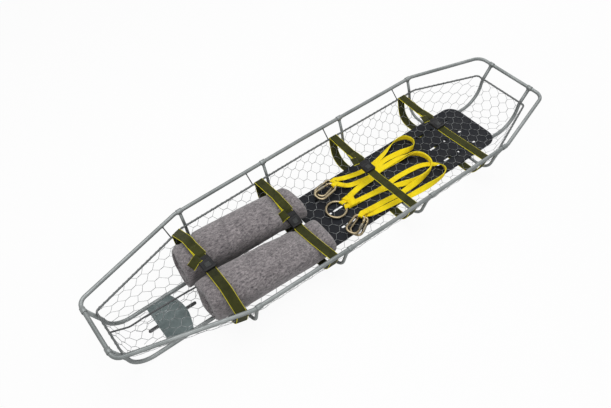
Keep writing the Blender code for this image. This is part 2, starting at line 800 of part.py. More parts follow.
def wrap_radius(number):
    """Radius of the strap's middle where it goes over the lower rail, which crosses it at a slant."""
    x = strap_x(number)
    rise = level(lower_stations(), x + 0.001) - level(lower_stations(), x - 0.001)
    slant = math.atan2(rise, 0.002)
    return (ROD_R / math.cos(slant) + CLEAR + STRAP_T / 2) * (1 + STRAP_WIDTH / 2 * abs(rise) / 0.002 / 0.2)


def tangent(spot, middle, radius, side):
    """Direction from a spot that touches a circle on one side of it: 1 to the left, -1 to the right."""
    to = middle - spot
    swing = math.asin(radius / to.length) * side
    return Matrix.Rotation(swing, 3, "X") @ to.normalized()


def meeting(a, a_way, b, b_way):
    """Where two lines in the (y, z) plane cross."""
    across = a_way.y * b_way.z - a_way.z * b_way.y
    gap = b - a
    return a + a_way * ((gap.y * b_way.z - gap.z * b_way.y) / across)


def over_rail(number, side, before, after):
    """Corner of the strap's line over the lower rail, between two neighbouring corners."""
    rail = Vector((0, side * level(lower_stations(), strap_x(number)), LOWER_Z))
    radius = wrap_radius(number)
    turn = side
    inward = tangent(before, rail, radius, turn)
    outward = tangent(after, rail, radius, -turn)
    return meeting(before, inward, after, outward)


def flat_point(y, z):
    return Vector((0, y, z))


def buckle_line(number):
    """Mouth of the buckle and the direction of the strap's straight run there."""
    mouth_y, near, far = STRAPS[number]
    start = flat_point(*near[0][:2])
    if far:
        way = (flat_point(*far[0][:2]) - start).normalized()
    else:
        rail = Vector((0, level(lower_stations(), strap_x(number)), LOWER_Z))
        way = tangent(start, rail, wrap_radius(number), 1)
    return start + way * ((mouth_y - start.y) / way.y), way


def under_corner(number, side):
    """Corner of the strap's line under the net, or under the board where there is one."""
    x = strap_x(number)
    below = net_z() - NET_T / 2
    if x > BOARD_FOOT_X:
        below = board_top_z() - BOARD_T
    half = level(lower_stations(), x) - NET_WALL_LEAN + NET_T / 2 + STRAP_T
    return flat_point(side * half, below - CLEAR - STRAP_T / 2)


def strap_line(number):
    """The strap's whole line: out of the socket, over the near rail, under the basket and back to the buckle."""
    _, near, far = STRAPS[number]
    mouth, way = buckle_line(number)
    start = mouth - way * (SOCKET_LENGTH - SOCKET_GRIP / 2)
    end = mouth + way * 0.001
    near_points = [flat_point(y, z) for y, z, _ in near]
    far_points = [flat_point(y, z) for y, z, _ in far]
    near_bilge = under_corner(number, -1)
    far_bilge = under_corner(number, 1)
    near_rail = over_rail(number, -1, near_points[-1], near_bilge)
    far_rail = over_rail(number, 1, far_points[-1] if far_points else mouth, far_bilge)
    points = [start, *near_points, near_rail, near_bilge, far_bilge, far_rail, *reversed(far_points), end]
    wrap = wrap_radius(number)
    radii = [0, *[r for _, _, r in near], wrap, NET_BILGE_R, NET_BILGE_R, wrap]
    radii += [*[r for _, _, r in reversed(far)], 0]
    return rounded(points, radii, step=math.radians(20))


def make_strap(number):
    x = strap_x(number)
    strap = band(f"strap_{number + 1}", strap_line(number), x, STRAP_WIDTH, STRAP_T)
    for vert in strap.data.vertices:
        vert.co.y *= strap_skew(number, vert.co.x)
    paint(strap, "olive")


def make_buckle(number):
    mouth, way = buckle_line(number)
    turn = Matrix.Rotation(math.atan2(way.z, way.y), 4, "X")
    spot = Vector((strap_x(number), mouth.y, mouth.z))
    base = empty(f"buckle_{number + 1}", Matrix.Translation(spot) @ turn)
    half = BUCKLE_WIDTH / 2
    web = STRAP_WIDTH / 2 + CLEAR
    web_t = STRAP_T / 2 + CLEAR
    floor_z = SOCKET_ABOVE + BUTTON_PROUD - BUTTON_T - BUTTON_TRAVEL - CLEAR
    label = number + 1

    socket = box(
        f"buckle_socket_{label}", (-half, -SOCKET_LENGTH, -SOCKET_BELOW), (half, 0, SOCKET_ABOVE), base, 0.0015
    )
    back = -SOCKET_LENGTH
    grip = box("grip", (-web, back - SOCKET_GRIP, -web_t), (web, back + SOCKET_GRIP, web_t), base)
    combine(socket, grip, "DIFFERENCE")
    wide = BLADE_WIDTH / 2 + CLEAR
    thick = BLADE_T / 2 + CLEAR
    deep = -BLADE_LENGTH - 2 * CLEAR
    blade_hole = box("mouth", (-wide, deep, BLADE_UP - thick), (wide, SOCKET_GRIP, BLADE_UP + thick), base)
    combine(socket, blade_hole, "DIFFERENCE")
    press = BUTTON / 2 + CLEAR
    well = box(
        "well",
        (-press, -BUTTON_BACK - press, floor_z),
        (press, -BUTTON_BACK + press, SOCKET_ABOVE + BUTTON_T),
        base,
    )
    combine(socket, well, "DIFFERENCE")
    paint(socket, "black")

    top = SOCKET_ABOVE + BUTTON_PROUD
    button = box(
        f"buckle_button_{label}",
        (-BUTTON / 2, -BUTTON_BACK - BUTTON / 2, top - BUTTON_T),
        (BUTTON / 2, -BUTTON_BACK + BUTTON / 2, top),
        base,
        0.0006,
    )
    paint(button, "button")

    start = CLEAR + 0.0005
    tongue = box(
        f"buckle_tongue_{label}",
        (-half, start, -SOCKET_BELOW),
        (half, start + ADJUSTER_LENGTH, ADJUSTER_ABOVE),
        base,
        0.0010,
    )
    blade = box(
        "blade",
        (-BLADE_WIDTH / 2, -BLADE_LENGTH, BLADE_UP - BLADE_T / 2),
        (BLADE_WIDTH / 2, start + 0.004, BLADE_UP + BLADE_T / 2),
        base,
    )
    combine(tongue, blade, "UNION")
    window = box(
        "window",
        (-LATCH_WINDOW[0] / 2, -BLADE_LENGTH + 0.004, BLADE_UP - BLADE_T),
        (LATCH_WINDOW[0] / 2, -BLADE_LENGTH + 0.004 + LATCH_WINDOW[1], BLADE_UP + BLADE_T),
        base,
    )
    combine(tongue, window, "DIFFERENCE")
    passage = box("passage", (-web, start - 0.005, -web_t), (web, start + ADJUSTER_LENGTH + 0.005, web_t), base)
    combine(tongue, passage, "DIFFERENCE")
    paint(tongue, "black")

    tail_from = start + ADJUSTER_LENGTH + CLEAR
    tail = box(
        f"strap_tail_{label}",
        (-STRAP_WIDTH / 2, tail_from, web_t),
        (STRAP_WIDTH / 2, tail_from + TAIL_LENGTH, web_t + TAIL_T),
        base,
        0.0010,
    )
    paint(tail, "olive")


# Rolled blankets


def strap_under(number, x, y):
    """Underside of the strap, or of its buckle wherever the tongue slides, less the gap that a blanket keeps."""
    mouth, way = buckle_line(number)
    line = strap_line(number)
    y /= strap_skew(number, x)
    first = mouth - way * (SOCKET_LENGTH + ROLL_GRAIN)
    last = mouth + way * (ADJUSTER_LENGTH + TONGUE_TRAVEL + ROLL_GRAIN)
    if first.y <= y <= last.y:
        return mouth.z + (y - mouth.y) * way.z / way.y - (SOCKET_BELOW + 3 * CLEAR) / way.y
    heights = []
    for a, b in zip(line, line[1:]):
        if min(a.y, b.y) <= y <= max(a.y, b.y) and abs(b.y - a.y) > 1e-6:
            share = (y - a.y) / (b.y - a.y)
            slope = math.hypot(1, (b.z - a.z) / (b.y - a.y))
            heights.append(a.z + (b.z - a.z) * share - (STRAP_T / 2 + 2 * CLEAR) * slope)
    return max(heights)


def make_roll(name, side, top_column):
    """A rolled blanket: a tube along X whose rings take their size from the stations and dip under the straps."""
    points = [Vector((x, 0, 0)) for x in ROLL_RINGS]
    roll = tube(name, points, 1.0, ROLL_SIDES)
    widths = [(s[0], s[1]) for s in ROLL_STATIONS]
    tops = [(s[0], s[top_column]) for s in ROLL_STATIONS]
    bottom = net_top_z() + 2 * CLEAR
    for vert in roll.data.vertices:
        x = vert.co.x
        half = level(widths, x)
        tall = (level(tops, x) - bottom) / 2
        angle = math.atan2(vert.co.z, vert.co.y)
        wide = abs(math.cos(angle)) ** (2 / ROLL_SQUARE) * math.copysign(1, math.cos(angle))
        high = abs(math.sin(angle)) ** (2 / ROLL_SQUARE) * math.copysign(1, math.sin(angle))
        y = side * (ROLL_INNER_Y + half) + half * wide
        z = bottom + tall + tall * high
        for number in (0, 1):
            apart = abs(x - strap_x(number))
            if apart < 0.1:
                limit = min(strap_under(number, x, y + k * ROLL_DIP) for k in (-1, -0.5, 0, 0.5, 1))
                limit += max(0.0, apart - DENT_HALF) * DENT_SLOPE
                z = min(z, limit)
        vert.co = (x, y, z)
    paint(roll, "wool")


# Bridle


def carabiner_z(layer):
    return net_top_z() + CLEAR + LOCK_R + layer * (2 * LOCK_R + CLEAR)


def carabiner_base(number):
    """Where a carabiner lies: its along axis points to its wide end, and its up axis follows its flip."""
    (x, y), heading, flipped, layer = CARABINERS[number]
    turn = Matrix.Rotation(math.radians(heading), 4, "Z")
    flip = Matrix.Rotation(math.pi if flipped else 0.0, 4, "X")
    return Matrix.Translation((x, y, carabiner_z(layer))) @ turn @ flip


def make_carabiner(number):
    base = empty(f"carabiner_base_{number + 1}", carabiner_base(number))
    label = number + 1
    corners = [Vector((x, y, 0)) for x, y, _ in CARABINER]
    hinge = corners[-1]
    way = (corners[0] - hinge).normalized()
    reach = (corners[0] - hinge).length
    heading = Matrix.Rotation(math.atan2(way.y, way.x), 4, "Z")

    outline = rounded(corners, [r for _, _, r in CARABINER], step=math.radians(22))
    body = tube(f"carabiner_{label}", outline, BAR_R, 8, parent=base)
    knuckle = cylinder("knuckle", BAR_R, 2 * BAR_R, hinge, (0, 0, 1), 12, base)
    combine(body, knuckle, "UNION")
    slot = GATE_TANG / 2 + CLEAR
    fork = box("fork", hinge - Vector((0.0075, 0.010, slot)), hinge + Vector((0.010, 0.010, slot)), base)
    combine(body, fork, "DIFFERENCE")
    hole = cylinder("hole", GATE_HOLE_R, 4 * BAR_R, hinge, (0, 0, 1), 12, base)
    combine(body, hole, "DIFFERENCE")
    paint(body, "zinc")

    pivot = Matrix.Translation(hinge) @ heading
    start = BAR_R + 0.0013
    gate_length = reach - NOSE_GAP - start
    rod = bmesh.new()
    bmesh.ops.create_cone(rod, cap_ends=True, segments=8, radius1=GATE_R, radius2=GATE_R, depth=gate_length)
    lie = Matrix.Translation((start + gate_length / 2, 0, 0)) @ Matrix.Rotation(math.pi / 2, 4, "Y")
    bmesh.ops.transform(rod, matrix=lie, verts=rod.verts)
    gate = place(f"carabiner_gate_{label}", mesh_from(rod, "gate"), pivot, base)
    tang = box("tang", (-0.0040, -0.0040, -GATE_TANG / 2), (start + 0.003, 0.0040, GATE_TANG / 2), base)
    tang.matrix_basis = pivot @ tang.matrix_basis
    combine(gate, tang, "UNION")
    pin = cylinder("pin", GATE_PIN_R, 2 * BAR_R - 2 * CLEAR, hinge, (0, 0, 1), 10, base)
    combine(gate, pin, "UNION")
    paint(gate, "zinc")

    lock_middle = pivot @ Vector((LOCK_FROM + LOCK_LENGTH / 2, 0, 0))
    lock = cylinder(f"carabiner_sleeve_{label}", LOCK_R, LOCK_LENGTH, lock_middle, way, 12, base)
    bore_r = (GATE_R + CLEAR) / math.cos(math.pi / 12)
    bore = cylinder("lock_bore", bore_r, 2 * LOCK_LENGTH, lock_middle, way, 12, base)
    combine(lock, bore, "DIFFERENCE")
    paint(lock, "zinc")


def make_ring():
    bpy.ops.mesh.primitive_torus_add(
        major_segments=24,
        minor_segments=8,
        major_radius=RING_R,
        minor_radius=RING_BAR_R,
        location=(*RING_PLACE, net_top_z() + CLEAR + RING_BAR_R),
    )
    ring = bpy.context.object
    ring.name = "bridle_ring"
    for holder in list(ring.users_collection):
        holder.objects.unlink(ring)
    PARTS.objects.link(ring)
    paint(ring, "zinc")


def smooth_line(points, steps):
    """Points of a smooth curve through these, whatever they measure (a Catmull-Rom spline)."""
    made = []
    ends = [points[0], *points, points[-1]]
    for a, b, c, d in zip(ends, ends[1:], ends[2:], ends[3:]):
        for k in range(steps):
            t = k / steps
            spot = []
            for p, q, r, s in zip(a, b, c, d):
                once = (r - p) * t
                twice = (2 * p - 5 * q + 4 * r - s) * t**2
                thrice = (3 * q - p - 3 * r + s) * t**3
                spot.append(0.5 * (2 * q + once + twice + thrice))
            made.append(tuple(spot))
    made.append(tuple(points[-1]))
    return made


def leg_end(number):
    """The end of a leg, just short of the narrow end of its carabiner, at the height of the bar."""
    across = carabiner_base(number).to_3x3() @ Vector((-1, 0, 0))
    middle = carabiner_base(number) @ Vector((CARABINER[3][0], -0.001, 0))
    return middle + across * (BAR_R + LEG_STOP)


def leg_places(number):
    """Places (x, y, z, turn) of a leg: each stands on the net's floor as its turn asks, plus its layers."""
    places = []
    for x, y, layers, upright in LEGS[number]:
        turn = upright * math.pi / 2
        rest = WEB_WIDTH / 2 * math.sin(turn) + WEB_T / 2 * math.cos(turn)
        places.append((x, y, net_top_z() + CLEAR + rest + layers * WEB_LIFT, turn))
    return places


def inner_places():
    """Places on the inner face of the outer leg's bight."""
    outer = leg_places(OUTER_LEG)
    places = []
    for k, apart in FOLLOWED:
        x, y, z, turn = outer[k]
        ahead = Vector(outer[k + 1][:2]) - Vector(outer[k - 1][:2])
        inward = Vector((ahead.y, -ahead.x)).normalized() * math.sin(turn) * WEB_LIFT * apart
        places.append((x + inward.x, y + inward.y, z - math.cos(turn) * WEB_LIFT * apart, turn))
    return places


def leg_points(number):
    """The leg's smooth line, which ends square to the narrow end of its carabiner."""
    places = leg_places(number)
    if number == INNER_LEG:
        places[JOIN_AT:JOIN_AT] = inner_places()
    end = leg_end(number)
    back = carabiner_base(number).to_3x3() @ Vector((-LEG_SQUARE, 0, 0))
    places.append((*(end + back), 0.0))
    return [*smooth_line(places, LEG_STEPS), (*end, 0.0)]


def make_leg(number):
    points = leg_points(number)
    tilts = [LEG_LEANS[number] * (math.pi / 2 - p[3]) for p in points]
    spots = [Vector(p[:3]) for p in points]
    paint(ribbon(f"bridle_leg_{number + 1}", spots, WEB_WIDTH, WEB_T, tilts), "yellow")


clear_scene()
PARTS = collection("basket_stretcher")
CUTTERS = collection("cutters")
make_rails()
for rib_number, rib_x in enumerate(RIB_X):
    make_rib(rib_number + 1, rib_x)
make_runner("runner_far", 1)
make_runner("runner_near", -1)
make_divider()
make_foot_plate()
make_board()
make_netting()
for strap_number in range(len(STRAPS)):
    make_strap(strap_number)
    make_buckle(strap_number)
make_roll("blanket_far", 1, 2)
make_roll("blanket_near", -1, 3)
make_ring()
for leg_number in range(len(CARABINERS)):
    make_carabiner(leg_number)
    make_leg(leg_number)
CUTTERS.hide_render = True
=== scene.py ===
# %% [markdown]
# # A basket stretcher, built around its CAD frame
# A basket stretcher is a wire litter: tubes make the rails, ribs and runners, and galvanised netting closes it.
# This one carries two rolled blankets, four webbing straps with push-button buckles, and a lifting bridle.
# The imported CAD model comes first. It is the frame that every detailed piece is built on and moves with.

import math

import bmesh
import bpy
from mathutils import Matrix, Vector, noise
from mathutils.bvhtree import BVHTree


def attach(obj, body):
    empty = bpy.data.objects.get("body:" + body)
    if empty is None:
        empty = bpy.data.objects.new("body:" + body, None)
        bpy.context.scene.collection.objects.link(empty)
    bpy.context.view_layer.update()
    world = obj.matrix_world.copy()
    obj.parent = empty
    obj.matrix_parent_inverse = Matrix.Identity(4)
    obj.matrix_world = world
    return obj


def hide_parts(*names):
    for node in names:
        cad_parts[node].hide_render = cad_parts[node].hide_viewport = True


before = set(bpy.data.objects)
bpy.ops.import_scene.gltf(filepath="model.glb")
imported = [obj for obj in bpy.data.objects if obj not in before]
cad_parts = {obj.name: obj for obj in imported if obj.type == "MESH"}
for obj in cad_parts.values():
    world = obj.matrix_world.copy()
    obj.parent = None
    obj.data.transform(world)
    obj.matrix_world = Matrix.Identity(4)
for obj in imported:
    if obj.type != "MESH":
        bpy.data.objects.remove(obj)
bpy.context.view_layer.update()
scene = bpy.context.scene
ROOT = "stretcher"

# %% [markdown]
# ## Camera
# The photograph looks down on the litter from the foot end and the near side, from about two and a half metres.
# Its place and lens were fitted to the outline of the rails, so the camera is written down as numbers: an azimuth,
# an elevation, a distance, two small shifts of the aim, and a slight roll.

# %% Camera
AZIMUTH = math.radians(-36.502)
ELEVATION = math.radians(50.343)
DISTANCE = 2.417
AIM = (-0.131, -0.084)
ROLL = math.radians(-1.915)
FOCAL_PIXELS = 600.0
PHOTO_WIDTH = 611
RAIL_Z = 0.204

back = Vector((math.sin(AZIMUTH) * math.cos(ELEVATION), -math.cos(AZIMUTH) * math.cos(ELEVATION), math.sin(ELEVATION)))
right = Vector((0, 0, 1)).cross(back).normalized()
over = back.cross(right)
place = back * DISTANCE + right * AIM[0] + over * AIM[1] + Vector((0, 0, RAIL_Z))
rolled_right = right * math.cos(ROLL) + over * math.sin(ROLL)
rolled_over = over * math.cos(ROLL) - right * math.sin(ROLL)
turn = Matrix((rolled_right, rolled_over, back)).transposed()

camera_data = bpy.data.cameras.new("camera")
camera_data.sensor_fit = "HORIZONTAL"
camera_data.sensor_width = 36.0
camera_data.lens = FOCAL_PIXELS / PHOTO_WIDTH * 36.0
camera_data.clip_end = 50.0
camera = bpy.data.objects.new("camera", camera_data)
camera.matrix_world = Matrix.Translation(place) @ turn.to_4x4()
scene.collection.objects.link(camera)
scene.camera = camera
scene.view_settings.view_transform = "Standard"
print("lens", round(camera_data.lens, 2), "mm at", [round(v, 3) for v in place])

# %% [markdown]
# ## Light
# A catalogue picture has soft light from all sides. One large lamp overhead and two weaker ones at the sides give
# the tubes a bright top and a darker flank, and a pale world fills the shadows.

# %% Lights
def lamp(name, size, energy, spot, aim=(0, 0, 0.1)):
    data = bpy.data.lights.new(name, "AREA")
    data.shape = "SQUARE"
    data.size = size
    data.energy = energy
    made = bpy.data.objects.new(name, data)
    way = Vector(spot) - Vector(aim)
    made.matrix_world = Matrix.Translation(spot) @ way.to_track_quat("Z", "Y").to_matrix().to_4x4()
    scene.collection.objects.link(made)


lamp("overhead", 2.4, 50.0, (-0.3, 0.4, 2.9))
lamp("near_side", 2.0, 22.0, (-1.2, -2.6, 1.6))
lamp("head_side", 1.6, 16.0, (2.6, 0.8, 1.8))

# %% [markdown]
# ## Floor and background
# The floor is a plain pale plane. Its own shader stays soft, so the litter keeps its shadow, while the world behind
# it is white to the camera and in reflections only.

# %% Materials: small helpers
def node(tree, kind, **values):
    """A new shader node, with its settings and its inputs' values."""
    made = tree.nodes.new(kind)
    for key, value in values.items():
        if key in made.inputs:
            made.inputs[key].default_value = value
        else:
            setattr(made, key, value)
    return made


def wire_up(tree, source, out, target, into):
    tree.links.new(source.outputs[out], target.inputs[into])


def new_material(name, color, roughness, metallic=0.0):
    made = bpy.data.materials.new(name)
    made.use_nodes = True
    shader = made.node_tree.nodes["Principled BSDF"]
    shader.inputs["Base Color"].default_value = (*color, 1.0)
    shader.inputs["Roughness"].default_value = roughness
    shader.inputs["Metallic"].default_value = metallic
    made.diffuse_color = (*color, 1.0)
    return made, made.node_tree, shader


world = bpy.data.worlds.new("studio")
scene.world = world
world.use_nodes = True
tree = world.node_tree
sky = tree.nodes["Background"]
sky.inputs["Color"].default_value = (1.0, 1.0, 1.0, 1.0)
rays = node(tree, "ShaderNodeLightPath")
seen = node(tree, "ShaderNodeMath", operation="MAXIMUM")
wire_up(tree, rays, "Is Camera Ray", seen, 0)
wire_up(tree, rays, "Is Glossy Ray", seen, 1)
level_of_light = node(tree, "ShaderNodeMapRange")
level_of_light.inputs["To Min"].default_value = 0.42
level_of_light.inputs["To Max"].default_value = 1.0
wire_up(tree, seen, "Value", level_of_light, "Value")
wire_up(tree, level_of_light, "Result", sky, "Strength")

floor_material, tree, shader = new_material("floor", (0.80, 0.80, 0.80), 0.9)
white = node(tree, "ShaderNodeEmission")
white.inputs["Color"].default_value = (1.0, 1.0, 1.0, 1.0)
rays = node(tree, "ShaderNodeLightPath")
mix = node(tree, "ShaderNodeMixShader")
part_white = node(tree, "ShaderNodeMath", operation="MULTIPLY")
part_white.inputs[1].default_value = 0.93
wire_up(tree, rays, "Is Camera Ray", part_white, 0)
wire_up(tree, part_white, "Value", mix, "Fac")
wire_up(tree, shader, "BSDF", mix, 1)
wire_up(tree, white, "Emission", mix, 2)
wire_up(tree, mix, "Shader", tree.nodes["Material Output"], "Surface")

floor = bmesh.new()
bmesh.ops.create_grid(floor, x_segments=1, y_segments=1, size=12.0)
mesh = bpy.data.meshes.new("floor")
floor.to_mesh(mesh)
floor.free()
mesh.transform(Matrix.Translation((0, 0, -0.0005)))
mesh.materials.append(floor_material)
ground = bpy.data.objects.new("floor", mesh)
scene.collection.objects.link(ground)

# %% [markdown]
# ## Coated tube
# The rails, ribs and runners wear a grey powder coat with a faint green cast. It is not a mirror: the coat has fine
# orange peel, a little cloudiness, and darker rubbed patches. All of it reads Object coordinates, so that it needs
# no unwrapping.

# %% Tube material
def mixed(tree, kind, first, second, factor=None, amount=0.5):
    """A colour mix node with two plain colours."""
    made = tree.nodes.new("ShaderNodeMix")
    made.data_type = "RGBA"
    made.blend_type = kind
    made.inputs[0].default_value = amount
    made.inputs[6].default_value = (*first, 1.0)
    made.inputs[7].default_value = (*second, 1.0)
    if factor:
        tree.links.new(factor, made.inputs[0])
    return made


def noise_of(tree, scale, detail=3.0, rough=0.55, stretch=None, source="Object", distortion=0.0):
    """Noise over Object coordinates, drawn out along an axis where stretch says so."""
    spots = tree.nodes.new("ShaderNodeTexCoord")
    made = node(tree, "ShaderNodeTexNoise", Scale=scale, Detail=detail, Roughness=rough, Distortion=distortion)
    if stretch:
        mapping = tree.nodes.new("ShaderNodeMapping")
        mapping.inputs["Scale"].default_value = stretch
        tree.links.new(spots.outputs[source], mapping.inputs["Vector"])
        tree.links.new(mapping.outputs["Vector"], made.inputs["Vector"])
    else:
        tree.links.new(spots.outputs[source], made.inputs["Vector"])
    return made


def ramp(tree, source, low, high, first=0.0, last=1.0):
    """Spreads the values between low and high over first to last."""
    made = node(tree, "ShaderNodeMapRange")
    made.inputs["From Min"].default_value = low
    made.inputs["From Max"].default_value = high
    made.inputs["To Min"].default_value = first
    made.inputs["To Max"].default_value = last
    tree.links.new(source, made.inputs["Value"])
    return made.outputs["Result"]


def bumped(tree, shader, height, strength, distance):
    made = node(tree, "ShaderNodeBump", Strength=strength, Distance=distance)
    tree.links.new(height, made.inputs["Height"])
    tree.links.new(made.outputs["Normal"], shader.inputs["Normal"])
    return made


def coated(name, color, dark, roughness, metallic):
    """Coated metal: two close shades, cloudy roughness and a fine peel."""
    made, tree, shader = new_material(name, color, roughness, metallic)
    cloud = noise_of(tree, 9.0, 4.0)
    shade = mixed(tree, "MIX", dark, color, ramp(tree, cloud.outputs["Fac"], 0.35, 0.62))
    tree.links.new(shade.outputs[2], shader.inputs["Base Color"])
    rub = noise_of(tree, 60.0, 2.0)
    tree.links.new(ramp(tree, rub.outputs["Fac"], 0.3, 0.7, roughness - 0.08, roughness + 0.12), shader.inputs["Roughness"])
    peel = noise_of(tree, 900.0, 1.0)
    bumped(tree, shader, peel.outputs["Fac"], 0.25, 0.0004)
    return made


TUBE_COAT = coated("tube_coat", (0.245, 0.262, 0.260), (0.170, 0.186, 0.184), 0.36, 0.40)
LOWER_COAT = coated("lower_rail_coat", (0.130, 0.138, 0.138), (0.085, 0.092, 0.092), 0.42, 0.30)
ROD_COAT = coated("divider_coat", (0.05, 0.052, 0.055), (0.03, 0.032, 0.034), 0.45, 0.1)
PLATE_COAT = coated("plate_coat", (0.118, 0.152, 0.152), (0.078, 0.105, 0.105), 0.5, 0.15)
BAR_COAT = coated("plate_bar_coat", (0.035, 0.036, 0.038), (0.02, 0.02, 0.022), 0.5, 0.0)
WIRE_ZINC = coated("galvanised_wire", (0.36, 0.37, 0.375), (0.25, 0.26, 0.265), 0.42, 0.3)
FITTING_ZINC = coated("yellow_zinc", (0.40, 0.33, 0.21), (0.20, 0.16, 0.10), 0.22, 0.9)
SLEEVE_ZINC = coated("sleeve_zinc", (0.26, 0.235, 0.18), (0.13, 0.12, 0.10), 0.30, 0.85)

# %% [markdown]
# ## Board
# The board under the netting is a sheet of dark plastic. It has a fine leathery grain and faint scuffs that run
# along the litter, where gear is pushed in and out.

# %% Board material
BOARD_SKIN, tree, shader = new_material("board_skin", (0.006, 0.008, 0.012), 0.60)
shader.inputs["Specular IOR Level"].default_value = 0.18
scuffs = noise_of(tree, 14.0, 5.0, 0.6, (0.25, 4.0, 1.0))
shade = mixed(tree, "MIX", (0.004, 0.005, 0.008), (0.014, 0.017, 0.023), ramp(tree, scuffs.outputs["Fac"], 0.52, 0.80))
tree.links.new(shade.outputs[2], shader.inputs["Base Color"])
tree.links.new(ramp(tree, scuffs.outputs["Fac"], 0.4, 0.7, 0.50, 0.70), shader.inputs["Roughness"])
grain = node(tree, "ShaderNodeTexVoronoi", Scale=520.0)
spots = tree.nodes.new("ShaderNodeTexCoord")
tree.links.new(spots.outputs["Object"], grain.inputs["Vector"])
bumped(tree, shader, grain.outputs["Distance"], 0.35, 0.0004)

# %% [markdown]
# ## Moulded plastic
# Buckles are moulded in black plastic with a spark-eroded texture. The push button is a dark grey.

# %% Plastic materials
def moulded(name, color, roughness):
    made, tree, shader = new_material(name, color, roughness)
    shader.inputs["Specular IOR Level"].default_value = 0.25
    spark = noise_of(tree, 1500.0, 2.0, 0.7)
    bumped(tree, shader, spark.outputs["Fac"], 0.4, 0.0003)
    wear = noise_of(tree, 120.0, 3.0)
    lighter = tuple(min(1.0, c * 1.7 + 0.006) for c in color)
    shade = mixed(tree, "MIX", color, lighter, ramp(tree, wear.outputs["Fac"], 0.5, 0.8))
    tree.links.new(shade.outputs[2], shader.inputs["Base Color"])
    tree.links.new(ramp(tree, wear.outputs["Fac"], 0.3, 0.7, roughness - 0.06, roughness + 0.1), shader.inputs["Roughness"])
    return made


BUCKLE_PLASTIC = moulded("buckle_plastic", (0.006, 0.006, 0.007), 0.50)
BUTTON_PLASTIC = moulded("button_plastic", (0.030, 0.032, 0.032), 0.45)

# %% [markdown]
# ## Webbing
# Webbing is a plain weave: thick weft yarns cross it, and the warp floats over them in rows. Every point of a band
# carries two attributes, its distance along the band and its distance across it, so the weave follows each bend.
# The restraint straps are olive with a thin yellow selvage; the bridle is bright yellow.

# %% Webbing material
def attribute(tree, name):
    made = tree.nodes.new("ShaderNodeAttribute")
    made.attribute_type = "GEOMETRY"
    made.attribute_name = name
    return made.outputs["Fac"]


def maths(tree, operation, first, second=0.0):
    made = node(tree, "ShaderNodeMath", operation=operation)
    for socket, value in ((0, first), (1, second)):
        if isinstance(value, (int, float)):
            made.inputs[socket].default_value = value
        else:
            tree.links.new(value, made.inputs[socket])
    return made.outputs["Value"]


def webbing(name, color, dark, edge, half, selvage, yarn=0.0016):
    """A woven band: ribs across it, warp rows along it with painted shade in the grooves between them, a selvage in its
    own colour and a little soiling.
    """
    made, tree, shader = new_material(name, color, 0.85)
    along = attribute(tree, "along")
    across = attribute(tree, "across")
    ribs = maths(tree, "SINE", maths(tree, "MULTIPLY", along, 2 * math.pi / yarn))
    rows = maths(tree, "SINE", maths(tree, "MULTIPLY", across, 2 * math.pi / (1.3 * yarn)))
    weave = maths(tree, "ADD", maths(tree, "MULTIPLY", ribs, 0.5), maths(tree, "MULTIPLY", rows, 0.35))
    soil = noise_of(tree, 26.0, 5.0, 0.6)
    fibre = noise_of(tree, 700.0, 3.0, 0.7)
    cloth = mixed(tree, "MIX", dark, color, ramp(tree, soil.outputs["Fac"], 0.28, 0.58))
    # Painted shade: the colour is darkened in the grooves between the yarns, where the weave is low.
    painted_groove_shade = mixed(tree, "MULTIPLY", color, (0.72, 0.72, 0.72), ramp(tree, weave, -0.2, -0.8, 0.0, 0.8))
    tree.links.new(cloth.outputs[2], painted_groove_shade.inputs[6])
    away = maths(tree, "ABSOLUTE", across)
    at_edge = maths(tree, "GREATER_THAN", away, half - selvage)
    striped = mixed(tree, "MIX", color, edge, at_edge)
    tree.links.new(painted_groove_shade.outputs[2], striped.inputs[6])
    tree.links.new(striped.outputs[2], shader.inputs["Base Color"])
    shader.inputs["Specular IOR Level"].default_value = 0.15
    shader.inputs["Sheen Weight"].default_value = 0.06
    shader.inputs["Sheen Roughness"].default_value = 0.5
    height = maths(tree, "ADD", maths(tree, "MULTIPLY", weave, 0.5), maths(tree, "MULTIPLY", fibre.outputs["Fac"], 0.4))
    bumped(tree, shader, height, 0.6, 0.0006)
    return made


STRAP_HALF = 0.020
WEB_HALF = 0.0125
OLIVE_WEB = webbing("olive_webbing", (0.044, 0.046, 0.010), (0.020, 0.022, 0.006), (0.72, 0.64, 0.02), STRAP_HALF, 0.0016)
YELLOW_WEB = webbing("yellow_webbing", (1.0, 0.79, 0.012), (0.94, 0.66, 0.008), (1.0, 0.84, 0.03), WEB_HALF, 0.0010)

# %% [markdown]
# ## Wool
# The blankets are grey felted wool, spun from dark and pale fibres together. Three sizes of noise give the heather
# colour, the pilled nap and the loose fuzz.

# %% Wool material
WOOL, tree, shader = new_material("heather_wool", (0.20, 0.18, 0.185), 0.96)
heather = noise_of(tree, 150.0, 6.0, 0.75, (0.55, 1.0, 1.0), distortion=0.6)
patches = noise_of(tree, 22.0, 4.0, 0.6)
speck = noise_of(tree, 420.0, 3.0, 0.8)
base = mixed(tree, "MIX", (0.062, 0.055, 0.060), (0.340, 0.305, 0.310), ramp(tree, heather.outputs["Fac"], 0.38, 0.64))
worn = mixed(tree, "MULTIPLY", (1, 1, 1), (0.70, 0.69, 0.70), ramp(tree, patches.outputs["Fac"], 0.45, 0.7))
tree.links.new(base.outputs[2], worn.inputs[6])
fuzz = mixed(tree, "MIX", (0, 0, 0), (0.42, 0.39, 0.39), ramp(tree, speck.outputs["Fac"], 0.60, 0.72, 0.0, 0.5))
tree.links.new(worn.outputs[2], fuzz.inputs[6])
tree.links.new(fuzz.outputs[2], shader.inputs["Base Color"])
shader.inputs["Sheen Weight"].default_value = 0.35
shader.inputs["Sheen Roughness"].default_value = 0.6
nap = maths(tree, "ADD", maths(tree, "MULTIPLY", heather.outputs["Fac"], 0.7), maths(tree, "MULTIPLY", speck.outputs["Fac"], 0.4))
bumped(tree, shader, nap, 0.9, 0.0022)
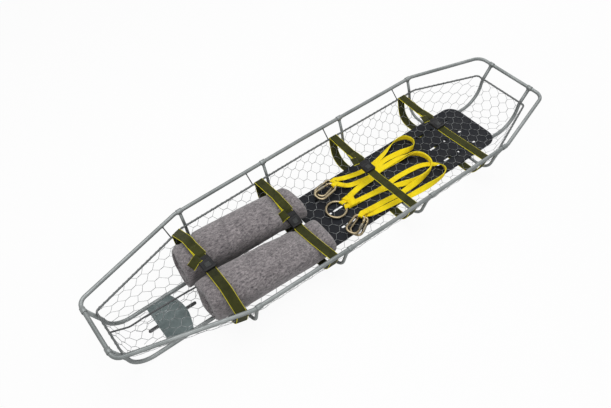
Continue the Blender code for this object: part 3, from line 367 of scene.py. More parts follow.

# %% [markdown]
# ## Carried-over CAD pieces
# The tubes, plates and buckles of the CAD model have the right shape already. They only need their finish.

# %% Finish the CAD nodes
FINISHES = {
    "top_rail": TUBE_COAT,
    "lower_rail": TUBE_COAT,
    "rib": TUBE_COAT,
    "runner": TUBE_COAT,
    "leg_divider": ROD_COAT,
    "back_board": BOARD_SKIN,
    "foot_plate_bar": BAR_COAT,
    "foot_plate": PLATE_COAT,
    "buckle_button": BUTTON_PLASTIC,
    "buckle": BUCKLE_PLASTIC,
    "carabiner": FITTING_ZINC,
    "bridle_ring": FITTING_ZINC,
}


def finish_of(name):
    for start, finish in FINISHES.items():
        if name.startswith(start):
            return finish
    return None


for name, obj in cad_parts.items():
    finish = finish_of(name)
    if finish:
        for place_ in obj.material_slots:
            place_.material = finish
print("CAD nodes finished:", sum(1 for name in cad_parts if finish_of(name)))

# %% [markdown]
# ## Making and placing pieces
# Every new piece ends the same way: its mesh becomes an object at the origin, gets its finish, rides on a body and
# stands for the CAD nodes that it replaces. Round and flat bars are swept: an outline is carried along a row of
# frames by extruding its edges, which keeps the faces regular and notes how far along and across each point is.

# %% Pieces and sweeps
def piece(name, body, finish, rider=ROOT, replaced=(), smooth=True):
    """Turns a bmesh into a finished piece of the litter."""
    mesh = bpy.data.meshes.new(name)
    body.to_mesh(mesh)
    body.free()
    mesh.polygons.foreach_set("use_smooth", [smooth] * len(mesh.polygons))
    mesh.materials.append(finish)
    made = bpy.data.objects.new(name, mesh)
    scene.collection.objects.link(made)
    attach(made, rider)
    if replaced:
        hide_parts(*replaced)
    return made


def frames_along(points, ups=None, closed=False, widths=None):
    """A matrix at each point: Z runs along the line, X across it, and Y is up; X can be narrowed."""
    made = []
    up = Vector((0, 0, 1))
    for i, spot in enumerate(points):
        ahead = points[(i + 1) % len(points)] if closed or i < len(points) - 1 else spot
        behind = points[i - 1] if closed or i > 0 else spot
        way = (ahead - behind).normalized()
        if ups:
            up = ups[i]
        if abs(up.dot(way)) > 0.999:
            up = Vector((1, 0, 0))
        side = up.cross(way).normalized()
        up = way.cross(side)
        wide = widths[i] if widths else 1.0
        turn = Matrix((side * wide, up, way)).transposed().to_4x4()
        made.append(Matrix.Translation(spot) @ turn)
    return made


def sweep(body, outline, spots, closed=False):
    """Extrudes a closed outline of (x, y) points along the frames, and closes its ends."""
    along = body.verts.layers.float.get("along") or body.verts.layers.float.new("along")
    across = body.verts.layers.float.get("across") or body.verts.layers.float.new("across")
    ring = [body.verts.new(spots[0] @ Vector((x, y, 0))) for x, y in outline]
    for vert, (x, _) in zip(ring, outline):
        vert[across] = x
    edges = [body.edges.new(pair) for pair in zip(ring, ring[1:] + ring[:1])]
    ends = [edges]
    gone = 0.0
    rest = spots[1:] + ([spots[0]] if closed else [])
    last = spots[0]
    first_ring = ring
    for spot in rest:
        gone += (spot.translation - last.translation).length
        last = spot
        made = bmesh.ops.extrude_edge_only(body, edges=edges)
        fresh = {v for v in made["geom"] if isinstance(v, bmesh.types.BMVert)}
        ring = [next(e.other_vert(v) for e in v.link_edges if e.other_vert(v) in fresh) for v in ring]
        edges = [body.edges.get(pair) for pair in zip(ring, ring[1:] + ring[:1])]
        for vert, (x, y) in zip(ring, outline):
            vert.co = spot @ Vector((x, y, 0))
            vert[along] = gone
    if closed:
        bmesh.ops.remove_doubles(body, verts=ring + first_ring, dist=1e-6)
    else:
        bmesh.ops.edgeloop_fill(body, edges=ends[0])
        bmesh.ops.edgeloop_fill(body, edges=edges)
    return body


def circle(radius, sides):
    turns = [2 * math.pi * k / sides for k in range(sides)]
    return [(radius * math.cos(a), radius * math.sin(a)) for a in turns]


def swept(outline, spots, closed=False):
    body = sweep(bmesh.new(), outline, spots, closed)
    bmesh.ops.recalc_face_normals(body, faces=body.faces)
    return body


def rounded(points, radii, closed=False, step=math.radians(8)):
    """The line through these points, with its corners turned into arcs of these radii."""
    made = []
    for i, (corner, radius) in enumerate(zip(points, radii)):
        if radius == 0 or (not closed and i in (0, len(points) - 1)):
            made.append(corner.copy())
            continue
        behind = (points[i - 1] - corner).normalized()
        ahead = (points[(i + 1) % len(points)] - corner).normalized()
        turn = math.pi - behind.angle(ahead)
        if turn < 0.001:
            made.append(corner.copy())
            continue
        middle = corner + (behind + ahead).normalized() * radius / math.cos(turn / 2)
        arm = corner + behind * radius * math.tan(turn / 2) - middle
        axis = ahead.cross(behind)
        steps = max(1, math.ceil(turn / step))
        made += [middle + Matrix.Rotation(turn * k / steps, 3, axis) @ arm for k in range(steps + 1)]
    return made


def level(stations, x):
    """Straight-line value at x of a row of (x, value) pairs."""
    for (x0, v0), (x1, v1) in zip(stations, stations[1:]):
        if x <= x1 or (x1, v1) == stations[-1]:
            return v0 + (v1 - v0) * (x - x0) / (x1 - x0)


def share_of(points, share):
    """The point at this share of a line's length."""
    lengths = [(b - a).length for a, b in zip(points, points[1:])]
    left = share * sum(lengths)
    for a, b, length in zip(points, points[1:], lengths):
        if left <= length:
            return a.lerp(b, left / length)
        left -= length
    return points[-1].copy()


# %% [markdown]
# ## The frame's measures
# These are the CAD model's own numbers: half-widths of both rails along the litter, the height of the net's floor
# and where the floor of the net begins and ends. The netting, the blankets and the bridle are all laid out on them.

# %% Measures of the frame
CLEAR = 0.0003
LOWER_Z = 0.147
ROD_R = 0.004
RAIL_STATIONS = ((-1.058, 0.137), (-0.598, 0.270), (0.040, 0.2865), (0.693, 0.290), (1.058, 0.184))
LOWER_STATIONS = ((-1.02408, 0.106), (-0.598, 0.237548), (0.040, 0.254048), (0.693, 0.257548), (1.006987, 0.140))
NET_Z = 0.0359
NET_TOP = 0.0369
NET_FLOOR_IN = 0.093
NET_FOOT = -0.932
NET_HEAD = 0.915
BILGE_R = 0.070
WALL_LEAN = 0.028
END_LEAN = 0.042
FOOT_BEND = -0.598
HEAD_BEND = 0.693

# %% [markdown]
# ## Galvanised netting
# The real netting is hexagonal chicken wire: two wires are twisted together on each side that runs along the
# litter, and part again to the next twist. One twist and one plain wire are modelled once each and then copied
# along every side of every cell. The cells are laid out flat, 51 mm wide and 35 mm a row, and a function bends the
# flat sheet over the floor, the bilges and the walls. A wire that crosses the edge of the sheet is cut there.

# %% The bent surface of the net
def floor_half(x):
    return level(LOWER_STATIONS, x) - NET_FLOOR_IN


def wall_line(inner, outer, lean):
    """The section of a wall, from the floor's edge to the lower rail."""
    reach = (outer - inner).length
    top = LOWER_Z - ROD_R - 2 * CLEAR
    corners = [Vector((0, 0, 0)), Vector((reach - lean, 0, 0)), Vector((reach, 0, top - NET_Z))]
    return rounded(corners, [0, BILGE_R, 0], step=math.radians(12))


def on_wall(inner, outer, lean, gone):
    """The point this far up a wall from the floor's edge, or nothing past its top."""
    line = wall_line(inner, outer, lean)
    girth = sum((b - a).length for a, b in zip(line, line[1:]))
    if gone > girth:
        return None
    spot = share_of(line, gone / girth)
    flat = inner + (outer - inner).normalized() * spot.x
    return Vector((flat.x, flat.y, NET_Z + spot.z))


def side_lean(x):
    """The end walls lean more than the sides, so the sides lean in to meet them at the corners."""
    share = max(0.0, (x - HEAD_BEND) / (NET_HEAD - HEAD_BEND), (FOOT_BEND - x) / (FOOT_BEND - NET_FOOT))
    return WALL_LEAN + (END_LEAN - WALL_LEAN) * share


def rail_x(x):
    """Where the wall above this place on the floor's edge meets the lower rail."""
    if x < FOOT_BEND:
        return FOOT_BEND + (x - FOOT_BEND) * (FOOT_BEND + 1.0196) / (FOOT_BEND - NET_FOOT)
    if x > HEAD_BEND:
        return HEAD_BEND + (x - HEAD_BEND) * (1.0025 - HEAD_BEND) / (NET_HEAD - HEAD_BEND)
    return x


def net_place(x, s):
    """The place in the basket of a point of the flat sheet: x along the litter, s out from its middle."""
    side = 1 if s >= 0 else -1
    out = abs(s)
    if NET_FOOT <= x <= NET_HEAD:
        half = floor_half(x)
        if out <= half:
            return Vector((x, s, NET_Z))
        far = rail_x(x)
        inner = Vector((x, side * half, 0))
        outer = Vector((far, side * level(LOWER_STATIONS, far), 0))
        return on_wall(inner, outer, side_lean(x), out - half)
    end, rail_end, sign = (NET_HEAD, 1.006987, 1) if x > NET_HEAD else (NET_FOOT, -1.02408, -1)
    gone = abs(x - end)
    spot = on_wall(Vector((end, 0, 0)), Vector((rail_end, 0, 0)), END_LEAN, gone)
    if spot is None:
        return None
    widest = level(LOWER_STATIONS, rail_end) - 0.006
    rise = (spot.x - end) / (rail_end - end)
    if out > floor_half(end) + (widest - floor_half(end)) * rise:
        return None
    return Vector((spot.x, s, spot.z))


# %% One twist and one wire
WIRE_R = 0.00080
TWIST_R = 0.00074


def unit_wire(sides=4):
    """A wire one metre long along Z."""
    return sweep(bmesh.new(), circle(WIRE_R, sides), [Matrix.Identity(4), Matrix.Translation((0, 0, 1))])


def unit_twist(rings=7, turns=1.5):
    """Two wires one metre long along Z, wound round each other."""
    body = bmesh.new()
    for start in (0.0, math.pi):
        spots = []
        for k in range(rings):
            share = k / (rings - 1)
            turn = start + turns * 2 * math.pi * share
            wide = TWIST_R * math.sin(math.pi * min(1.0, 0.15 + share * 0.7 if 0 < share < 1 else 0.0)) ** 0.3
            spots.append(Matrix.Translation((wide * math.cos(turn), wide * math.sin(turn), share)))
        sweep(body, circle(WIRE_R, 4), spots)
    return body


def as_mesh(body, name):
    mesh = bpy.data.meshes.new(name)
    bmesh.ops.recalc_face_normals(body, faces=body.faces)
    body.to_mesh(mesh)
    body.free()
    return mesh


PLAIN_WIRE = as_mesh(unit_wire(), "plain_wire")
TWISTED_WIRE = as_mesh(unit_twist(), "twisted_wire")


def lay_wire(body, unit, start, end):
    """Copies a unit wire between two points."""
    way = end - start
    if way.length < 0.0015:
        return
    turn = way.to_track_quat("Z", "Y").to_matrix().to_4x4()
    copy = unit.copy()
    copy.transform(Matrix.Translation(start) @ turn @ Matrix.Diagonal((1, 1, way.length, 1)))
    body.from_mesh(copy)
    bpy.data.meshes.remove(copy)


# %% Lay the netting
CELL_WIDE = 0.051
ROW_PITCH = 0.035
TWIST = 0.018


def sheet_point(row, column, top):
    """A corner of the flat lattice: the low or the high end of the twist in this row and column."""
    x = NET_FOOT + 0.006 + row * ROW_PITCH + (TWIST if top else 0.0)
    s = (column + (0.5 if row % 2 else 0.0)) * CELL_WIDE
    narrow = 1.0 - 0.17 * min(1.0, max(0.0, (FOOT_BEND - x) / 0.25))
    sway = noise.noise(Vector((x * 7, s * 7, 0.3))) * 0.005
    shift = noise.noise(Vector((x * 6, s * 6, 4.7))) * 0.004
    skew = 0.035 * s * math.sin(x * 2.1)
    return x + shift + skew, s * narrow + sway


def cut_wire(place_of, a, b):
    """Both ends of the part of a wire that lies on the sheet, or nothing."""
    start, end = place_of(*a), place_of(*b)
    if start is None and end is None:
        return None
    if start and end:
        return start, end
    inside, outside = (a, b) if start else (b, a)
    low, high = 0.0, 1.0
    for _ in range(9):
        middle = (low + high) / 2
        spot = [p + (q - p) * middle for p, q in zip(inside, outside)]
        low, high = (middle, high) if place_of(*spot) else (low, middle)
    spot = [p + (q - p) * low for p, q in zip(inside, outside)]
    return place_of(*inside), place_of(*spot)


def lay_net(body, place_of, rows, columns, corner=sheet_point):
    """Every side of every cell: one twist along the litter and two wires that part from it."""
    for row in range(*rows):
        for column in range(*columns):
            foot, top = corner(row, column, False), corner(row, column, True)
            left = column - 1 if row % 2 == 0 else column
            sides = [(TWISTED_WIRE, foot, top)]
            sides += [(PLAIN_WIRE, top, corner(row + 1, left + k, False)) for k in (0, 1)]
            for unit, a, b in sides:
                cut = cut_wire(place_of, a, b)
                if cut:
                    lay_wire(body, unit, *cut)
    return body


netting = lay_net(bmesh.new(), net_place, (-5, 58), (-8, 9))
print("netting:", len(netting.faces), "faces")
net = piece(
    "wire_netting", netting, WIRE_ZINC,
    replaced=[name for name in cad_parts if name.startswith("net_")],
)

# %% [markdown]
# ## Bent tubes
# A rail is bent on a former from one straight length of tube. The CAD tubes have eight sides, which is enough for
# collision, so the same centre lines are swept here with a finer circle and look round up close. Collars and weld
# beads could be cut from cylinders, but a small outline spun round an axis gives cleaner edges.

# %% Turned forms
def toward(middle, axis):
    """A placing whose Z runs along the axis."""
    return Matrix.Translation(middle) @ Vector(axis).to_track_quat("Z", "Y").to_matrix().to_4x4()


def turned(body, profile, spot, steps=20, closed=True, shape=None):
    """Spins an outline of (radius, height) points round Z, shapes its points if asked, and places it."""
    before = set(body.verts)
    row = [body.verts.new((r, 0, z)) for r, z in profile]
    pairs = list(zip(row, row[1:]))
    if closed:
        pairs.append((row[-1], row[0]))
    edges = [body.edges.new(pair) for pair in pairs]
    bmesh.ops.spin(
        body, geom=row + edges, cent=(0, 0, 0), axis=(0, 0, 1), angle=2 * math.pi, steps=steps, use_merge=True
    )
    poles = [v for v in body.verts if v not in before and v.co.xy.length < 1e-6]
    if poles:
        bmesh.ops.remove_doubles(body, verts=poles, dist=1e-6)
    made = [v for v in body.verts if v not in before]
    if shape:
        for vert in made:
            shape(vert)
    bmesh.ops.transform(body, matrix=spot, verts=made)
    return body


def finished(body):
    bmesh.ops.recalc_face_normals(body, faces=body.faces)
    return body


# %% Collars and weld beads
TUBE_R = 0.008
RIB_R = 0.0065
KEEPER_R = 0.0025
SLEEVE_R = 0.0105
SLEEVE_HALF = 0.012
CHAMFER = 0.0009


def collar(body, middle, axis):
    """The short sleeve that a rib or a runner ends in; the rail passes through it."""
    inner = TUBE_R + CLEAR
    profile = (
        (inner, -SLEEVE_HALF), (SLEEVE_R - CHAMFER, -SLEEVE_HALF), (SLEEVE_R, CHAMFER - SLEEVE_HALF),
        (SLEEVE_R, SLEEVE_HALF - CHAMFER), (SLEEVE_R - CHAMFER, SLEEVE_HALF), (inner, SLEEVE_HALF),
    )
    return turned(body, profile, toward(middle, axis), 24)


def weld_bead(body, middle, axis, radius, thick=0.0016):
    """A ring of weld round a tube's end, a little lumpy."""
    profile = [(radius + thick * math.cos(a), thick * math.sin(a)) for a in (0, 1.05, 2.09, 3.14, 4.19, 5.24)]

    def lumpy(vert):
        vert.co *= 1.0 + 0.05 * math.sin(9 * math.atan2(vert.co.y, vert.co.x))

    return turned(body, profile, toward(middle, axis), 27, shape=lumpy)


# %% Bend the rails
RIB_X = (-0.576, -0.170, 0.249, 0.671)
KEEPER_TOP = (0.089, 0.089, 0.095, 0.104)
KEEPER_FOOT = (0.076, 0.079, 0.086, 0.089)


def plan_loop(stations, height, end_radii, bend_radius):
    """Closed line round both sides of the frame at one height."""
    far = [Vector((x, y, height)) for x, y in stations]
    near = [Vector((x, -y, height)) for x, y in reversed(stations)]
    radii = [end_radii[0]] + [bend_radius] * (len(far) - 2) + [end_radii[1]]
    return rounded(far + near, radii + radii[::-1], closed=True)


top_line = plan_loop(RAIL_STATIONS, RAIL_Z, (0.040, 0.050), 0.050)
rail = swept(circle(TUBE_R, 16), frames_along(top_line, closed=True), closed=True)
piece("bent_top_rail", rail, TUBE_COAT, replaced=["top_rail"])

lower_line = plan_loop(LOWER_STATIONS, LOWER_Z, (0.015, 0.015), 0.050)
rail = sweep(bmesh.new(), circle(ROD_R, 12), frames_along(lower_line, closed=True), closed=True)
for rib_x, keeper_foot, keeper_top in zip(RIB_X, KEEPER_FOOT, KEEPER_TOP):
    for side in (1, -1):
        foot_x, top_x = rib_x - keeper_foot, rib_x - keeper_top
        foot = Vector((foot_x, side * level(LOWER_STATIONS, foot_x), LOWER_Z))
        top = Vector((top_x, side * level(RAIL_STATIONS, top_x), RAIL_Z))
        way = (top - foot).normalized()
        end = top - way * (TUBE_R + CLEAR)
        sweep(rail, circle(KEEPER_R, 10), frames_along([foot, end]))
        weld_bead(rail, foot + way * ROD_R, way, KEEPER_R, 0.0011)
        weld_bead(rail, end - way * 0.0012, way, KEEPER_R, 0.0011)
piece("bent_lower_rail", finished(rail), LOWER_COAT, replaced=["lower_rail"])
print("rails", len(top_line), "and", len(lower_line), "points")

# %% Bend the ribs
RIB_FLOOR_Z = 0.0228


def rail_way(x, side):
    rise = level(RAIL_STATIONS, x + 0.001) - level(RAIL_STATIONS, x - 0.001)
    return Vector((0.002, side * rise, 0)).normalized()


for number, x in enumerate(RIB_X, start=1):
    half = level(RAIL_STATIONS, x)
    wall = [Vector((x, half, RAIL_Z)), Vector((x, half - 0.0212, LOWER_Z)), Vector((x, half - 0.048, RIB_FLOOR_Z))]
    line = rounded(wall + [Vector((p.x, -p.y, p.z)) for p in wall[::-1]], [0, 0.100, 0.070, 0.070, 0.100, 0])
    down = (line[1] - line[0]).normalized()
    line[0] += down * (TUBE_R + 0.001)
    line[-1] = Vector((line[0].x, -line[0].y, line[0].z))
    rib = sweep(bmesh.new(), circle(RIB_R, 14), frames_along(line, [Vector((1, 0, 0))] * len(line)))
    for side in (1, -1):
        middle = Vector((x, side * half, RAIL_Z))
        collar(rib, middle, rail_way(x, side))
        slope = Vector((down.x, side * down.y, down.z))
        weld_bead(rib, middle + slope * (SLEEVE_R + 0.0004), slope, RIB_R)
    piece(f"bent_rib_{number}", finished(rib), TUBE_COAT, replaced=[f"rib_{number}"])

# %% Bend the runners
RUNNER_SHAPE = (
    (-1.058, RAIL_Z, 0.0), (-1.020, 0.100, 0.100), (-1.000, TUBE_R, 0.088),
    (1.002, TUBE_R, 0.100), (1.012, 0.132, 0.060), (1.058, RAIL_Z, 0.0),
)
for name, side in (("runner_far", 1), ("runner_near", -1)):
    corners = [Vector((x, side * level(((-1.058, 0.096), (1.058, 0.112)), x), z)) for x, z, _ in RUNNER_SHAPE]
    line = rounded(corners, [r for _, _, r in RUNNER_SHAPE])
    starts = (line[1] - line[0]).normalized(), (line[-2] - line[-1]).normalized()
    line[0] += starts[0] * (TUBE_R + 0.001)
    line[-1] += starts[1] * (TUBE_R + 0.001)
    runner = sweep(bmesh.new(), circle(TUBE_R, 16), frames_along(line, [Vector((0, 1, 0))] * len(line)))
    for middle, way in zip((corners[0], corners[-1]), starts):
        collar(runner, middle, (0, 1, 0))
        weld_bead(runner, middle + way * (SLEEVE_R + 0.0004), way, TUBE_R)
    piece(f"bent_{name}", finished(runner), TUBE_COAT, replaced=[name])
print("ribs and runners bent")

# %% [markdown]
# ## Divider rod and its fence
# A black rod runs down the middle of the foot half and keeps the legs apart, and a strip of netting hangs from it.
# The same wires as before are laid on an upright sheet, which ends at the rod above and at the floor below.

# %% Divider
DIVIDER_R = 0.00325
DIVIDER = (
    (-0.956, 0.109, 0.030), (-0.900, 0.112, 0.200), (-0.751, 0.105, 0.400),
    (-0.564, 0.090, 0.400), (-0.393, 0.083, 0.400), (-0.180, 0.074, 0.025),
)
first = Vector((DIVIDER[0][0], 0, DIVIDER[0][1]))
rail_end = Vector((LOWER_STATIONS[0][0], 0, LOWER_Z))
start = rail_end + (first - rail_end).normalized() * (ROD_R + CLEAR)
foot = Vector((RIB_X[1], 0, RIB_FLOOR_Z + RIB_R + CLEAR))
corners = [start, *[Vector((x, 0, z)) for x, z, _ in DIVIDER], foot]
line = rounded(corners, [0, *[r for _, _, r in DIVIDER], 0])
rod = swept(circle(DIVIDER_R, 12), frames_along(line, [Vector((0, 1, 0))] * len(line)))
piece("bent_leg_divider", rod, ROD_COAT, replaced=["leg_divider"])


def fence_place(x, s):
    """The place of a point of the upright sheet: x along the litter, s up from the floor."""
    top = level([(d[0], d[1]) for d in DIVIDER], x) - DIVIDER_R
    z = NET_TOP + 0.0006 + s
    if s < 0 or z > top or not -0.944 < x < -0.25:
        return None
    return Vector((x, 0, z))


fence = finished(lay_net(bmesh.new(), fence_place, (-5, 25), (-1, 4)))
piece("divider_fence", fence, WIRE_ZINC)

# %% [markdown]
# ## Lacing
# The net's edge is laced to the lower rail: one long wire is wound round both. Its points are worked out on the
# rail's own line, a turn every 24 mm, and a thin circle is swept along them.

# %% Lace the net to the rail
LACING_R = 0.00055
LACING_REACH = ROD_R + 0.0013
LACING_PITCH = 0.024


def wound(line, reach, pitch, steps=9):
    """Points of a wire wound round a closed line."""
    loop = [*line, line[0]]
    girth = sum((b - a).length for a, b in zip(loop, loop[1:]))
    turns = round(girth / pitch)
    made = []
    for k in range(turns * steps):
        here = share_of(loop, k / (turns * steps))
        way = (share_of(loop, min(1.0, (k + 0.5) / (turns * steps))) - here).normalized()
        side = Vector((0, 0, 1)).cross(way).normalized()
        angle = 2 * math.pi * k / steps + 0.5 * math.sin(k * 0.37)
        made.append(here + (side * math.cos(angle) + Vector((0, 0, 1)) * math.sin(angle)) * reach)
    return made


lacing = wound(lower_line, LACING_REACH, LACING_PITCH)
wire = swept(circle(LACING_R, 4), frames_along(lacing, closed=True), closed=True)
piece("net_lacing", wire, WIRE_ZINC)
print("lacing:", len(lacing), "points")

# %% [markdown]
# ## Rolled blankets
# Each blanket is a long folded strip, rolled up: its end shows the layers wound round each other. The section is
# drawn as a spiral band, and swept along the roll. Then every point is moved: the roll is a little square, lower
# towards its head end, and squeezed flat wherever a strap or a buckle presses on it. Rays shot up at the straps
# find how low the wool has to stay, also where a tongue passes as it slides out of its buckle.

# %% Where the straps press
STRAP_X = (-0.626, -0.219)
TONGUE_WAYS = (Vector((0, 0.9987, 0.0505)), Vector((0, 0.9332, 0.3594)))
TONGUE_TRAVEL = 0.030


def presser(number):
    """A tree of what lies over the wool at one strap, with its tongue at several places of its travel."""
    corners, faces = [], []
    parts = [(f"strap_{number}", 0.0), (f"buckle_socket_{number}", 0.0)]
    parts += [(f"buckle_tongue_{number}", TONGUE_TRAVEL * k / 6) for k in range(7)]
    for name, slid in parts:
        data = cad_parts[name].data
        start = len(corners)
        corners += [v.co + TONGUE_WAYS[number - 1] * slid for v in data.vertices]
        faces += [[start + k for k in face.vertices] for face in data.polygons]
    return BVHTree.FromPolygons(corners, faces)


PRESSERS = [presser(1), presser(2)]
PRESS_HALF = 0.021
DENT_REACH = 0.060


def press_height(number, x, y):
    """How high the wool may reach at this place because of one strap, or nothing away from it."""
    middle = STRAP_X[number]
    away = max(0.0, abs(x - middle) - PRESS_HALF)
    if away > DENT_REACH:
        return None
    under = min(max(x, middle - PRESS_HALF + 0.002), middle + PRESS_HALF - 0.002)
    lows = []
    for shift in (-0.006, 0.0, 0.006):
        hit = PRESSERS[number].ray_cast(Vector((under, y + shift, 0.075)), Vector((0, 0, 1)), 0.3)[0]
        if hit:
            lows.append(hit.z)
    if not lows:
        return None
    return min(lows) - 0.0012 + 0.75 * away + 4.0 * away**2


# %% Wind the blankets
ROLL_STATIONS = (
    (-0.698, 0.078, 0.196, 0.190), (-0.690, 0.086, 0.208, 0.200), (-0.660, 0.091, 0.222, 0.210),
    (-0.580, 0.096, 0.224, 0.212), (-0.400, 0.098, 0.200, 0.180), (-0.280, 0.098, 0.182, 0.146),
    (-0.160, 0.096, 0.164, 0.128), (-0.148, 0.091, 0.158, 0.122), (-0.140, 0.080, 0.146, 0.112),
)
ROLL_FOOT = -0.6975
ROLL_HEAD = -0.1405
ROLL_INNER_Y = 0.0065
SQUARENESS = 2.4
TURNS = 4.5
LAYER = 0.205
STEPS_A_TURN = 36


def spiral(side):
    """Both faces of a wound band in a unit circle, from the core out and back, as (x, y) points."""
    count = int(TURNS * STEPS_A_TURN)
    outer, inner = [], []
    for k in range(count + 1):
        gone = k / count
        angle = side * (2 * math.pi * TURNS * gone - 3.7)
        middle = 0.05 + (1.0 - LAYER / 2 - 0.05) * gone
        half = LAYER / 2 * 0.84 * min(1.0, (count - k) / 3 + 0.35, k / 3 + 0.3)
        outer.append((angle, middle + half, half))
        inner.append((angle, middle - half, half))
    return outer + inner[::-1]


def superellipse(angle, reach):
    wide = abs(math.cos(angle)) ** (2 / SQUARENESS) * math.copysign(1, math.cos(angle))
    high = abs(math.sin(angle)) ** (2 / SQUARENESS) * math.copysign(1, math.sin(angle))
    return reach * wide, reach * high


def roll_rings():
    """Places of the rings along the roll, closer together at its ends."""
    marks = [0.0, 0.002, 0.006, 0.012] + [0.02 + 0.0117 * k for k in range(45)]
    length = ROLL_HEAD - ROLL_FOOT
    return sorted(m for m in {*marks, length, length - 0.002, length - 0.006, length - 0.012} if m <= length)


def wind_roll(name, side, top_column, seed):
    outline = spiral(side)
    rings = roll_rings()
    body = sweep(
        bmesh.new(),
        [(float(k), 0.0) for k in range(len(outline))],
        [Matrix.Translation((0, 0, float(r))) for r in range(len(rings))],
    )
    widths = [(s[0], s[1]) for s in ROLL_STATIONS]
    tops = [(s[0], s[top_column]) for s in ROLL_STATIONS]
    bottom = NET_TOP + 0.0006
    length = rings[-1]
    for vert in body.verts:
        angle, reach, half = outline[round(vert.co.x)]
        gone = rings[round(vert.co.z)]
        end = min(gone, length - gone)
        soft = 1.0 if end > 0.012 else math.sqrt(max(0.0, 1 - ((0.012 - end) / 0.012) ** 2))
        middle = reach - half if round(vert.co.x) < len(outline) // 2 else reach + half
        reach = middle + (reach - middle) * (0.25 + 0.75 * soft)
        turn_at = angle * 0.35
        inset = 0.014 * noise.noise(Vector((math.cos(turn_at) * 1.7, math.sin(turn_at) * 1.7, seed + reach * 5)))
        inset += 0.012 * (1.0 - reach) ** 2
        share = gone / length
        x = ROLL_FOOT + gone + (max(0.0, inset + 0.004) * (1 - share) ** 8 - max(0.0, inset + 0.004) * share**8)
        wide = level(widths, x)
        tall = (level(tops, x) - bottom) / 2
        ripple = noise.noise(Vector((x * 9, math.cos(angle) * 1.6, math.sin(angle) * 1.6 + seed)))
        fine = noise.noise(Vector((x * 34, math.cos(angle) * 5, math.sin(angle) * 5 + seed)))
        reach *= 1.0 - 0.018 - 0.018 * ripple - 0.006 * fine
        flat, high = superellipse(angle, reach)
        y = side * (ROLL_INNER_Y + wide) + wide * flat
        z = bottom + tall + tall * high
        edge = min(1.0, abs(flat))
        top = bottom + tall + tall * (1 - edge**SQUARENESS) ** (1 / SQUARENESS)
        for number in (0, 1):
            limit = press_height(number, x, y)
            if limit is not None and limit < top:
                z = bottom + (z - bottom) * max(0.05, (limit - bottom) / (top - bottom))
        vert.co = (x, y, z)
    bmesh.ops.recalc_face_normals(body, faces=body.faces)
    made = piece(name, body, WOOL, replaced=[name.replace("rolled_", "")])
    return made


for name, side, column, seed in (("rolled_blanket_far", 1, 2, 3.1), ("rolled_blanket_near", -1, 3, 8.4)):
    roll = wind_roll(name, side, column, seed)
    print(name, len(roll.data.polygons), "faces")

# %% [markdown]
# ## Restraint straps
# Each strap is one band that leaves its buckle, goes over the lower rail, under the basket and back. Seen along the
# litter its line is a row of corners with round bends, and where it wraps the rail it touches a circle, so those
# corners are found from tangents. The band is swept along that line, and slanted to follow the rail.

# %% Lines of the straps
STRAP_T = 0.0016
STRAP_PLACES = (-0.626, -0.219, 0.189, 0.609)
STRAPS = (
    (-0.001, ((-0.137, 0.209, 0.050),), ((0.120, 0.222, 0.060),)),
    (0.021, ((-0.030, 0.110, 0.020), (-0.120, 0.124, 0.100)), ((0.118, 0.167, 0.050),)),
    (0.044, ((-0.020, 0.1375, 0.300),), ()),
    (0.044, ((-0.020, 0.1375, 0.300),), ()),
)
BOARD_FOOT_X = -0.150
BOARD_UNDER = 0.0296
SOCKET_LENGTH = 0.044
SOCKET_GRIP = 0.007


def flat_point(y, z):
    return Vector((0, y, z))


def wrap_radius(number):
    """Radius of the strap's middle where it goes over the lower rail, which crosses it at a slant."""
    x = STRAP_PLACES[number]
    rise = level(LOWER_STATIONS, x + 0.001) - level(LOWER_STATIONS, x - 0.001)
    slant = math.atan2(rise, 0.002)
    return (ROD_R / math.cos(slant) + CLEAR + STRAP_T / 2) * (1 + STRAP_HALF * abs(rise) / 0.002 / 0.2)


def tangent(spot, middle, radius, side):
    """Direction from a spot that touches a circle on one side of it: 1 to the left, -1 to the right."""
    to = middle - spot
    return Matrix.Rotation(math.asin(radius / to.length) * side, 3, "X") @ to.normalized()


def over_rail(number, side, before, after):
    """Corner of the strap's line over the lower rail, between two neighbouring corners."""
    rail = flat_point(side * level(LOWER_STATIONS, STRAP_PLACES[number]), LOWER_Z)
    radius = wrap_radius(number)
    a_way = tangent(before, rail, radius, side)
    b_way = tangent(after, rail, radius, -side)
    gap = after - before
    cross = a_way.y * b_way.z - a_way.z * b_way.y
    return before + a_way * ((gap.y * b_way.z - gap.z * b_way.y) / cross)


def buckle_line(number):
    """Mouth of the buckle and the direction of the strap's straight run there."""
    mouth_y, near, far = STRAPS[number]
    start = flat_point(*near[0][:2])
    if far:
        way = (flat_point(*far[0][:2]) - start).normalized()
    else:
        rail = flat_point(level(LOWER_STATIONS, STRAP_PLACES[number]), LOWER_Z)
        way = tangent(start, rail, wrap_radius(number), 1)
    return start + way * ((mouth_y - start.y) / way.y), way


def under_corner(number, side):
    """Corner of the strap's line under the net, or under the board where there is one."""
    x = STRAP_PLACES[number]
    below = BOARD_UNDER if x > BOARD_FOOT_X else NET_Z - 0.001
    half = level(LOWER_STATIONS, x) - WALL_LEAN + 0.001 + STRAP_T
    return flat_point(side * half, below - CLEAR - STRAP_T / 2)


